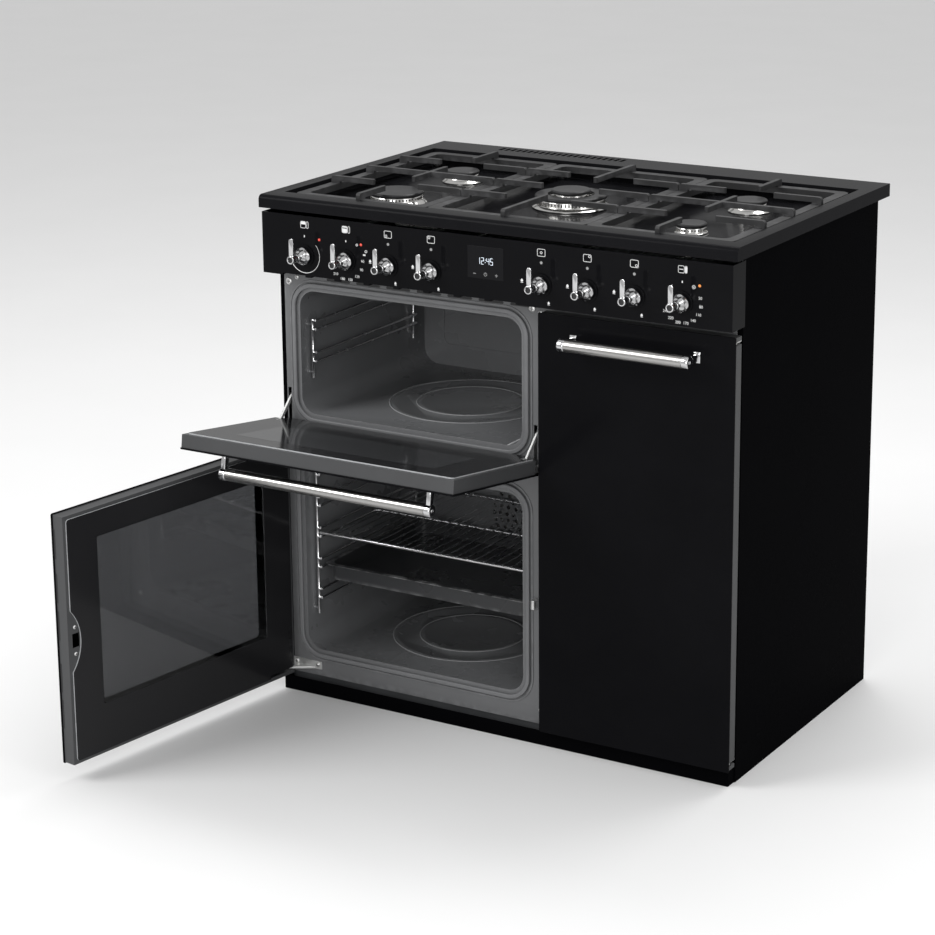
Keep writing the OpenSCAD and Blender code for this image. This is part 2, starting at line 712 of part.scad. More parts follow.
module control_panel() {
    lamp_r = 2.5;
    notches = 8;
    notch_pitch = (left_x1 + panel_x - 60) / notches;
    color([0.02, 0.02, 0.022]) difference() {
        union() {
            upright(panel_y, panel_back) translate([-panel_x, panel_z0]) square([2 * panel_x, panel_h - rim_gap]);
            for (s = [-1, 1]) translate([s * (panel_x - 1), mid(panel_y, front_y), panel_z0 + (panel_h - rim_gap) / 2])
                cube([2, front_y - panel_y, panel_h - rim_gap], center = true);
            box([-panel_x, panel_y, panel_z0], [panel_x, frame_y - 4, panel_z0 + 2]);
            // Returns that screw to the side panels' front flanges
            for (s = [-1, 1]) translate([s * (panel_x - 8), front_y - 1, panel_z0 + (panel_h - rim_gap) / 2])
                cube([16, 2, panel_h - rim_gap - 8], center = true);
            for (x = knob_xs) bar_y(panel_y - bezel_t, panel_y + 1, x, knob_z, bezel_r);
        }
        for (x = knob_xs) bar_y(panel_y - 5, panel_back + 1, x, knob_z, spindle_r + 2);
        box([-display_w / 2, panel_y - 1, display_z - display_h / 2],
            [display_w / 2, panel_back + 1, display_z + display_h / 2]);
        for (x = lamp_xs()) bar_y(panel_y - 1, panel_back + 1, x, knob_z + 30, lamp_r);
        // Cooling vents: shallow notches in the lower edge above the left ovens
        for (i = [0:notches - 1]) translate([-panel_x + 40 + i * notch_pitch, panel_y - 1, panel_z0 - 1])
            cube([notch_pitch - 12, 12, 4]);
    }
}

function lamp_xs() = [for (i = [0, 1, 7]) knob_xs[i] + 30];

module display_glass() {
    color([0.01, 0.01, 0.012]) box([-display_w / 2, panel_y - 0.6, display_z - display_h / 2],
        [display_w / 2, panel_back, display_z + display_h / 2]);
}

module knob(i) {
    stem_r = 5.5;
    tip_r = 7;
    tip_len = 10;
    translate([knob_xs[i], 0, knob_z]) color([0.82, 0.82, 0.83]) {
        difference() {
            rotate([90, 0, 0]) rotate_extrude() polygon([[0, -spindle_end], [spindle_r, -spindle_end],
                [spindle_r, -knob_foot], [15, -knob_foot], [14.5, -knob_foot + 4], [10, -knob_foot + 9],
                [stem_r + 1, -knob_foot + 15], [stem_r, -knob_foot + 18], [stem_r, -knob_tip - tip_len],
                [tip_r, -knob_tip - tip_len + 1], [tip_r, -knob_tip], [0, -knob_tip]]);
            bar_y(knob_tip - 1, knob_tip + 2, 0, 0, tip_r - 2.5);
        }
        lever_y = knob_tip + tip_len / 2;
        box([-finger_half, lever_y - 2, tip_r - 1], [finger_half, lever_y + 2, lever_len - finger_half]);
        bar_y(lever_y - 2, lever_y + 2, 0, lever_len - finger_half, finger_half);
    }
}

finger_half = 4.5;

module knob_upper_oven() knob(0);
module knob_lower_oven() knob(1);
module knob_front_left() knob(2);
module knob_rear_left() knob(3);
module knob_centre() knob(4);
module knob_rear_right() knob(5);
module knob_front_right() knob(6);
module knob_right_oven() knob(7);

// The sleeve that a gas knob pushes in, and turns inside
module plunger(i) color([0.7, 0.62, 0.35]) difference() {
    bar_y(sleeve_y0, sleeve_y0 + sleeve_len, knob_xs[i], knob_z, sleeve_r);
    bar_y(sleeve_y0 - 1, sleeve_y0 + sleeve_len + 1, knob_xs[i], knob_z, spindle_r + fit);
}

module plunger_front_left() plunger(2);
module plunger_rear_left() plunger(3);
module plunger_centre() plunger(4);
module plunger_rear_right() plunger(5);
module plunger_front_right() plunger(6);

// ---- Doors, drawn shut; d is [x0, z0, x1, z1] ----

upper_door = [-door_x, upper_z0, left_x1, door_z1];
lower_door = [-door_x, door_z0, left_x1, lower_z1];
right_door = [right_x0, door_z0, door_x, door_z1];
function window(d, bottom) = [d[0] + window_side, d[1] + bottom, d[2] - window_side, d[3] - window_top];
upper_window = window(upper_door, upper_window_bottom);
lower_window = window(lower_door, window_bottom);
// A stay runs straight from its foot on the door to its far end behind the front frame, both as [y, z] from the hinge.
// Shut, it crosses the frame at the bottom of its slot, and open to 90 degrees at the top.
function stay_foot() = [liner_in - hinge_y, 9];
function stay_end() = [front_y - hinge_y + 36, -27];
function stay_slope() = (stay_foot()[1] - stay_end()[1]) / (stay_end()[0] - stay_foot()[0]);
function stay_low() = stay_foot()[1] - stay_slope() * (front_y - hinge_y - stay_foot()[0]) - stay_w;
function stay_high() = stay_foot()[0] + (front_y - hinge_y + stay_foot()[1]) / stay_slope() + stay_w + 1;
function stay_xs() = [-door_x + stay_in + stay_t / 2, left_x1 - stay_in - stay_t / 2];

module opening(w, g = 0) rounded(w[0] - g, w[1] - g, w[2] + g, w[3] + g, 8);

module skin(d, w = undef) {
    color([0.015, 0.015, 0.018]) upright(door_y, door_y + skin_t) difference() {
        rounded(d[0], d[1], d[2], d[3], 3);
        if (w != undef) opening(w);
    }
}

// A shallow pressed tray behind the skin, with solid blocks where the hinge pins sit
module liner_shell(d, z0, w = undef) {
    edge = 2;
    difference() {
        box([d[0] + edge, door_y + skin_t, z0], [d[2] - edge, liner_in, d[3] - edge]);
        box([d[0] + edge + liner_sheet, door_y + skin_t - 1, z0 + liner_sheet],
            [d[2] - edge - liner_sheet, liner_in - liner_sheet, d[3] - edge - liner_sheet]);
        if (w != undef) upright(door_y, door_in) opening(w, 6);
    }
}

module hinge_block(x0, x1, z0, z1) box([x0, door_y + skin_t, z0], [x1, liner_in, z1]);

// Room round a side hinge's arm at height z
module side_notch(x_out, x_pin, z, reach = arm_r + 1.5, below = arm_gap) {
    s = sign(x_out);
    box([min(x_out + s * 3, x_pin - s * reach), door_y + skin_t - 1, z - below],
        [max(x_out + s * 3, x_pin - s * reach), door_in + 1, z + arm_t + arm_gap]);
}

lower_arms = [door_z0 + arm_inset, lower_z1 - arm_inset - arm_t];
right_arms = [door_z0 + arm_inset, door_z1 - arm_inset - arm_t];
pin_len = 12;

module side_liner(d, arms, x_out, x_pin, w = undef) {
    s = sign(x_out);
    difference() {
        union() {
            liner_shell(d, d[1] + 2, w);
            for (z = [d[1] + 2, d[3] - 2 - block])
                hinge_block(min(x_out - s * 2, x_out - s * block), max(x_out - s * 2, x_out - s * block), z, z + block);
        }
        side_notch(x_out, x_pin, arms[0], arm_foot + 6);
        side_notch(x_out, x_pin, arms[1]);
        bar_z(arms[0], arms[0] + arm_t + arm_gap + pin_len, x_pin, hinge_y, pin_r + fit);
        bar_z(arms[1] - arm_gap - pin_len, arms[1] + arm_t, x_pin, hinge_y, pin_r + fit);
        keeper_room(d, s);
    }
}

function keeper_x(d, s) = s < 0 ? d[2] - keeper_in - keeper[0] / 2 : d[0] + keeper_in + keeper[0] / 2;

module keeper_room(d, s) translate([keeper_x(d, s), liner_in, mid(d[1], d[3])])
    cube([keeper[0] + 5, 2 * keeper[1] + 4, keeper[2] + 8], center = true);

module upper_door_panel() upper_swing() skin(upper_door, upper_window);
module lower_door_panel() lower_swing() skin(lower_door, lower_window);
module right_door_panel() skin(right_door);

arm_room = arm_t + 2 * arm_gap + 2;
upper_arm_xs = [-door_x + 4, left_x1 - 4 - arm_t];

module upper_door_liner() upper_swing() color([0.36, 0.37, 0.38]) difference() {
    union() {
        liner_shell(upper_door, upper_liner_z0, upper_window);
        hinge_block(-door_x + 2, -door_x + block, upper_liner_z0, upper_hinge_z + 12);
        hinge_block(left_x1 - block, left_x1 - 2, upper_liner_z0, upper_hinge_z + 12);
    }
    box([-door_x - 1, door_y + skin_t - 1, upper_liner_z0 - 1],
        [-door_x + 4 + arm_t + arm_gap, door_in, upper_hinge_z + arm_r + 1.5]);
    box([left_x1 - 4 - arm_t - arm_gap, door_y + skin_t - 1, upper_liner_z0 - 1],
        [left_x1 + 1, door_in, upper_hinge_z + arm_r + 1.5]);
    bar_x(-door_x, -door_x + 4 + arm_t + pin_len, hinge_y, upper_hinge_z, pin_r + fit);
    bar_x(left_x1 - 4 - arm_t - pin_len, left_x1, hinge_y, upper_hinge_z, pin_r + fit);
}

module lower_door_liner() lower_swing() color([0.3, 0.31, 0.32])
    side_liner(lower_door, lower_arms, -door_x, lower_hinge_x, lower_window);
module right_door_liner() color([0.3, 0.31, 0.32])
    side_liner(right_door, right_arms, door_x, right_hinge_x);

pane_inset = 8;
arc_d = 20;
arc_r = (pow(105 / 2, 2) + pow(arc_d, 2)) / (2 * arc_d);
module inner_pane(d, z0) upright(liner_in, door_in)
    rounded(d[0] + pane_inset, z0, d[2] - pane_inset, d[3] - pane_inset, 6);
module outer_pane(w) upright(door_y + skin_t, door_y + skin_t + 4) opening(w, 12);

module upper_door_glass() upper_swing() color([0.1, 0.1, 0.11, 0.6]) {
    difference() {
        inner_pane(upper_door, upper_liner_z0 + 2);
        for (x = stay_xs()) box([x - stay_t / 2 - 2, liner_in - 1, upper_z0], [x + stay_t / 2 + 2, door_in + 1, upper_hinge_z + 24]);
        box([-door_x, liner_in - 1, upper_z0], [-door_x + stay_in, door_in + 1, upper_hinge_z + arm_r + 2]);
        box([left_x1 - stay_in, liner_in - 1, upper_z0], [left_x1, door_in + 1, upper_hinge_z + arm_r + 2]);
    }
    outer_pane(upper_window);
}

module lower_door_glass() lower_swing() color([0.1, 0.1, 0.11, 0.6]) {
    difference() {
        inner_pane(lower_door, door_z0 + pane_inset);
        side_notch(-door_x, lower_hinge_x, lower_arms[0], arm_foot + 6, pane_inset);
        side_notch(-door_x, lower_hinge_x, lower_arms[1]);
        // A shallow arc is cut from the free edge round the latch
        bar_y(liner_in - 1, door_in + 1, lower_door[2] - pane_inset + arc_r - arc_d, mid(lower_door[1], lower_door[3]), arc_r);
    }
    outer_pane(lower_window);
}

// A bar with end caps on two posts
module handle(d) {
    x0 = d[0] + handle_inset;
    x1 = d[2] - handle_inset;
    y = door_y - handle_off;
    z = d[3] - handle_drop;
    cap_len = 12;
    color([0.72, 0.72, 0.71]) {
        bar_x(x0, x1, y, z, handle_r);
        for (x = [x0, x1 - cap_len]) {
            bar_x(x, x + cap_len, y, z, handle_r + 0.5);
            box([x + 2, y, z - 6], [x + cap_len - 2, door_y, z + 6]);
        }
    }
}

module upper_door_handle() upper_swing() handle(upper_door);
module lower_door_handle() lower_swing() handle(lower_door);
module right_door_handle() handle(right_door);

// Straight stays on the upper door that slide through slots in the front frame
module upper_door_stays() upper_swing() color([0.75, 0.75, 0.76]) for (x = stay_xs())
    translate([x - stay_t / 2, hinge_y, upper_hinge_z]) rotate([90, 0, 90]) linear_extrude(stay_t) {
        foot = stay_foot();
        end = stay_end();
        intersection() {
            translate(end) rotate([0, 0, 180 - atan(stay_slope())]) translate([0, -stay_w / 2]) square([3 * stay_end()[0], stay_w]);
            translate([foot[0], -200]) square([200, 400]);
        }
        translate(end) circle(stay_w / 2);
        translate([foot[0], foot[1] - 8]) square([2, 20]);
    }

// Brackets on the cabinet with the pins that carry the doors
module hinge_mounts() {
    upper_feet = [front_y, frame_y];
    color([0.7, 0.7, 0.71]) {
        for (k = [0, 1]) {
            x = upper_arm_xs[k];
            box([x, hinge_y, upper_hinge_z - 6], [x + arm_t, upper_feet[k], upper_hinge_z + 6]);
            bar_x(x, x + arm_t, hinge_y, upper_hinge_z, arm_r);
            bar_x(k == 0 ? x : x - pin_len + 1, k == 0 ? x + arm_t + pin_len - 1 : x + arm_t, hinge_y, upper_hinge_z, pin_r);
        }
        side_arms(lower_hinge_x, lower_arms);
        side_arms(right_hinge_x, right_arms);
    }
}

// The bottom arm widens to a foot that is screwed to the front frame
module side_arms(x, arms) for (k = [0, 1]) {
    z = arms[k];
    s = sign(x);
    if (k == 0) {
        translate([0, 0, z]) linear_extrude(arm_t) polygon([[x, hinge_y - arm_r], [x, frame_y], [x - s * arm_foot, frame_y],
            [x - s * arm_foot, frame_y - 3], [x - s * (arm_r + 2), hinge_y - 2]]);
        box([min(x - s * 2, x - s * (arm_foot + 14)), frame_y - 2, z], [max(x - s * 2, x - s * (arm_foot + 14)), frame_y, z + 15]);
    }
    box([x - arm_w / 2, hinge_y, z], [x + arm_w / 2, front_y, z + arm_t]);
    bar_z(z, z + arm_t, x, hinge_y, arm_r);
    bar_z(k == 0 ? z : z - pin_len + 1, k == 0 ? z + arm_t + pin_len - 1 : z + arm_t, x, hinge_y, pin_r);
}

module latch_keepers() {
    color([0.7, 0.7, 0.71]) for (p = [[lower_door, -1], [right_door, 1]]) {
        x = keeper_x(p[0], p[1]);
        z = mid(p[0][1], p[0][3]);
        box([x - keeper[0] / 2, frame_y - keeper[1] + keeper[0] / 2, z - keeper[2] / 2],
            [x + keeper[0] / 2, frame_y, z + keeper[2] / 2]);
        bar_z(z - keeper[2] / 2, z + keeper[2] / 2, x, frame_y - keeper[1] + keeper[0] / 2, keeper[0] / 2);
    }
}

// ---- Nodes ----

base_frame();
levelling_feet();
plinth();
side_panel_left();
side_panel_right();
back_panel();
front_frame();
hob_top();
control_panel();
display_glass();
upper_cavity();
lower_cavity();
right_cavity();
door_gaskets();
shelf_racks();
fan_covers();
fan_motors();
lower_fan();
right_fan();
heating_elements();
oven_lamps();
wire_shelf();
baking_tray();
gas_manifold();
gas_taps();
gas_tubes();
oven_controls();
burner_cups();
burner_crowns();
burner_caps();
pan_support_left();
pan_support_centre();
pan_support_right();
upper_door_panel();
upper_door_liner();
upper_door_glass();
upper_door_handle();
upper_door_stays();
lower_door_panel();
lower_door_liner();
lower_door_glass();
lower_door_handle();
right_door_panel();
right_door_liner();
right_door_handle();
hinge_mounts();
latch_keepers();
knob_upper_oven();
knob_lower_oven();
knob_front_left();
knob_rear_left();
knob_centre();
knob_rear_right();
knob_front_right();
knob_right_oven();
plunger_front_left();
plunger_rear_left();
plunger_centre();
plunger_rear_right();
plunger_front_right();
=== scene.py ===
import bpy
import bmesh
import json
import math
from mathutils import Matrix, Vector

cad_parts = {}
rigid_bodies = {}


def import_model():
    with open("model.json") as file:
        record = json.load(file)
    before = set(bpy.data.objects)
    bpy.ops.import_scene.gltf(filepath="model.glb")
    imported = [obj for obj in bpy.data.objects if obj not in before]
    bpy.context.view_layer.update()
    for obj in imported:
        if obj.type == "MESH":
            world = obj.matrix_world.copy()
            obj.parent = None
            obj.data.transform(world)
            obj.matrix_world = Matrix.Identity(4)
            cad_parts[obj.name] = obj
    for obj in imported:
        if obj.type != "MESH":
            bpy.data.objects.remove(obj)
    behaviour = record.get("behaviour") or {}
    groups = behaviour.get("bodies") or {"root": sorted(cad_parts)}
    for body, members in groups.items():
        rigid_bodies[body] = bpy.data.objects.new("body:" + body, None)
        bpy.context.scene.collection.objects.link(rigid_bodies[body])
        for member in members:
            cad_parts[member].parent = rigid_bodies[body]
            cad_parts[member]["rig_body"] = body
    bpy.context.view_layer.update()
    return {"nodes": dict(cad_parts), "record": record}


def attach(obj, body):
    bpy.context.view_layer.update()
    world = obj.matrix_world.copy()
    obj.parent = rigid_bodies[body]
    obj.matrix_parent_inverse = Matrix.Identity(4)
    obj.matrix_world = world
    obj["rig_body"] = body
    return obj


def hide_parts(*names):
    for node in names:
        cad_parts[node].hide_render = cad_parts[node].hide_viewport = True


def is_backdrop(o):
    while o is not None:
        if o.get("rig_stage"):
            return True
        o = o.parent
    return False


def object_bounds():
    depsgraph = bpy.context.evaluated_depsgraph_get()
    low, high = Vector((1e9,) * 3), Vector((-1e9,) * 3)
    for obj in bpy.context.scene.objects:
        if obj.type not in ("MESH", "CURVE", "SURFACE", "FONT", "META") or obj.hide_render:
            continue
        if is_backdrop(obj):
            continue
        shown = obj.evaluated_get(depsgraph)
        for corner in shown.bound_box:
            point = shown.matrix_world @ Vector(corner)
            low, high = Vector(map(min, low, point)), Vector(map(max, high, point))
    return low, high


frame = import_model()
scene = bpy.context.scene
mm = 0.001
print("frame loaded:", len(frame["nodes"]), "nodes")


# Shader node groups, shared by the materials

def startGroup(name, inputs, outputs):
    group = bpy.data.node_groups.new(name, "ShaderNodeTree")
    for label, kind, value in inputs:
        socket = group.interface.new_socket(label, in_out="INPUT", socket_type="NodeSocket" + kind)
        socket.default_value = value
    for label, kind in outputs:
        group.interface.new_socket(label, in_out="OUTPUT", socket_type="NodeSocket" + kind)
    return group, group.nodes.new("NodeGroupInput").outputs, group.nodes.new("NodeGroupOutput").inputs


def addNode(tree, kind, settings=None, **inputs):  # a node with fields set and inputs linked or given
    made = tree.nodes.new("ShaderNode" + kind)
    for field, value in (settings or {}).items():
        setattr(made, field, value)
    for label, value in inputs.items():
        label = label.replace("_", " ")
        numbered = label.startswith("in") and label[2:].isdigit()
        socket = made.inputs[int(label[2:])] if numbered else made.inputs[label]
        if isinstance(value, bpy.types.NodeSocket):
            tree.links.new(value, socket)
        else:
            socket.default_value = value
    return made


def mixColor(tree, factor, a, b):
    return addNode(tree, "Mix", {"data_type": "RGBA"}, in0=factor, in6=a, in7=b).outputs[2]


def makeMottleGroup():  # cloudy change of colour and roughness, and a fine relief for the bump
    inputs = [("Color", "Color", (0.5, 0.5, 0.5, 1)), ("Shift", "Float", 0.1), ("Scale", "Float", 8.0),
        ("Fine", "Float", 300.0), ("Rough Low", "Float", 0.2), ("Rough High", "Float", 0.3)]
    outputs = [("Color", "Color"), ("Roughness", "Float"), ("Height", "Float")]
    group, given, out = startGroup("surfaceMottle", inputs, outputs)
    place = addNode(group, "TexCoord").outputs["Object"]
    cloud = addNode(group, "TexNoise", Vector=place, Scale=given["Scale"], Detail=4.0,
        Roughness=0.6).outputs["Fac"]
    fine = addNode(group, "TexNoise", Vector=place, Scale=given["Fine"], Detail=2.0,
        Roughness=0.5).outputs["Fac"]
    change = addNode(group, "MapRange", Value=cloud, From_Min=0.3, From_Max=0.7, To_Min=-1.0,
        To_Max=1.0).outputs[0]
    gain = addNode(group, "Math", {"operation": "MULTIPLY_ADD"}, in0=change, in1=given["Shift"],
        in2=1.0).outputs[0]
    tone = addNode(group, "VectorMath", {"operation": "SCALE"}, in0=given["Color"], Scale=gain).outputs[0]
    group.links.new(tone, out["Color"])
    rough = addNode(group, "MapRange", Value=cloud, From_Min=0.35, From_Max=0.65, To_Min=given["Rough Low"],
        To_Max=given["Rough High"]).outputs["Result"]
    group.links.new(rough, out["Roughness"])
    group.links.new(fine, out["Height"])
    return group


def makeFleckGroup():  # small pale flecks, as in stove enamel
    inputs = [("Color", "Color", (0.1, 0.1, 0.1, 1)), ("Fleck", "Color", (0.5, 0.5, 0.5, 1)),
        ("Scale", "Float", 400.0), ("Size", "Float", 0.12)]
    group, given, out = startGroup("enamelFlecks", inputs, [("Color", "Color"), ("Mask", "Float")])
    place = addNode(group, "TexCoord").outputs["Object"]
    cell = addNode(group, "TexVoronoi", Vector=place, Scale=given["Scale"])
    uneven = addNode(group, "TexNoise", Vector=place, Scale=40.0, Detail=1.0).outputs["Fac"]
    size = addNode(group, "Math", {"operation": "MULTIPLY"}, in0=given["Size"], in1=uneven).outputs[0]
    mask = addNode(group, "Math", {"operation": "LESS_THAN"}, in0=cell.outputs["Distance"],
        in1=size).outputs[0]
    group.links.new(mixColor(group, mask, given["Color"], given["Fleck"]), out["Color"])
    group.links.new(mask, out["Mask"])
    return group


def makeBrushGroup():  # fine parallel scratches; Stretch is small along the grain and large across it
    inputs = [("Color", "Color", (0.6, 0.6, 0.6, 1)), ("Stretch", "Vector", (4.0, 900.0, 900.0)),
        ("Rough Low", "Float", 0.2), ("Rough High", "Float", 0.35)]
    outputs = [("Color", "Color"), ("Roughness", "Float"), ("Height", "Float")]
    group, given, out = startGroup("brushedGrain", inputs, outputs)
    place = addNode(group, "TexCoord").outputs["Object"]
    scaled = addNode(group, "VectorMath", {"operation": "MULTIPLY"}, in0=place,
        in1=given["Stretch"]).outputs[0]
    grain = addNode(group, "TexNoise", Vector=scaled, Scale=1.0, Detail=3.0, Roughness=0.6).outputs["Fac"]
    rough = addNode(group, "MapRange", Value=grain, From_Min=0.3, From_Max=0.7, To_Min=given["Rough Low"],
        To_Max=given["Rough High"]).outputs["Result"]
    group.links.new(rough, out["Roughness"])
    gain = addNode(group, "MapRange", Value=grain, From_Min=0.3, From_Max=0.7, To_Min=0.86,
        To_Max=1.06).outputs["Result"]
    tone = addNode(group, "VectorMath", {"operation": "SCALE"}, in0=given["Color"], Scale=gain).outputs[0]
    group.links.new(tone, out["Color"])
    group.links.new(grain, out["Height"])
    return group


def makeWearGroup():  # edges mixed paler, from how sharply the surface turns: rubbed wear on the cast iron, painted highlights along the edges of the frame and the baking tray
    inputs = [("Color", "Color", (0.1, 0.1, 0.1, 1)), ("Worn", "Color", (0.4, 0.4, 0.4, 1)),
        ("Amount", "Float", 0.5)]
    group, given, out = startGroup("edgeWearAndHighlight", inputs, [("Color", "Color"), ("Mask", "Float")])
    edge = addNode(group, "NewGeometry").outputs["Pointiness"]
    place = addNode(group, "TexCoord").outputs["Object"]
    patch = addNode(group, "TexNoise", Vector=place, Scale=60.0, Detail=3.0).outputs["Fac"]
    sharp = addNode(group, "MapRange", Value=edge, From_Min=0.52, From_Max=0.6).outputs["Result"]
    patchy = addNode(group, "MapRange", Value=patch, From_Min=0.4, From_Max=0.65).outputs["Result"]
    both = addNode(group, "Math", {"operation": "MULTIPLY"}, in0=sharp, in1=patchy).outputs[0]
    mask = addNode(group, "Math", {"operation": "MULTIPLY", "use_clamp": True}, in0=both,
        in1=given["Amount"]).outputs[0]
    group.links.new(mixColor(group, mask, given["Color"], given["Worn"]), out["Color"])
    group.links.new(mask, out["Mask"])
    return group


shaderGroups = {
    "mottle": makeMottleGroup(), "flecks": makeFleckGroup(), "brush": makeBrushGroup(),
    "wearAndHighlight": makeWearGroup(),
}


def placeGroup(tree, which, **inputs):
    made = tree.nodes.new("ShaderNodeGroup")
    made.node_tree = shaderGroups[which]
    for label, value in inputs.items():
        socket = made.inputs[label.replace("_", " ")]
        if isinstance(value, bpy.types.NodeSocket):
            tree.links.new(value, socket)
        else:
            socket.default_value = value
    return made


# Materials

def rgba(color):
    return (*color, 1.0)


def makeMaterial(name, look):  # look is a dictionary; see the finishes below
    material = bpy.data.materials.new(name)
    material.use_nodes = True
    tree = material.node_tree
    shader = tree.nodes["Principled BSDF"]
    for label, value in look.get("fixed", {}).items():
        shader.inputs[label].default_value = value
    low, high = look["rough"]
    if "grain" in look:
        base = placeGroup(tree, "brush", Color=rgba(look["color"]), Stretch=look["grain"], Rough_Low=low,
            Rough_High=high)
    else:
        base = placeGroup(tree, "mottle", Color=rgba(look["color"]), Shift=look.get("shift", 0.08),
            Scale=look.get("cloud", 8.0), Fine=look.get("fine", 300.0), Rough_Low=low, Rough_High=high)
    color = base.outputs["Color"]
    if "fleck" in look:
        fleck, scale, size = look["fleck"]
        color = placeGroup(tree, "flecks", Color=color, Fleck=rgba(fleck), Scale=scale,
            Size=size).outputs["Color"]
    # edges mixed paler: rubbed wear for some finishes, painted highlights for others
    if "wornAndHighlight" in look:
        wornAndHighlight, amount = look["wornAndHighlight"]
        color = placeGroup(tree, "wearAndHighlight", Color=color, Worn=rgba(wornAndHighlight), Amount=amount).outputs["Color"]
    tree.links.new(color, shader.inputs["Base Color"])
    tree.links.new(base.outputs["Roughness"], shader.inputs["Roughness"])
    if look.get("bump"):
        bump = addNode(tree, "Bump", Strength=look["bump"], Distance=look.get("relief", 0.0002),
            Height=base.outputs["Height"])
        tree.links.new(bump.outputs["Normal"], shader.inputs["Normal"])
    return material


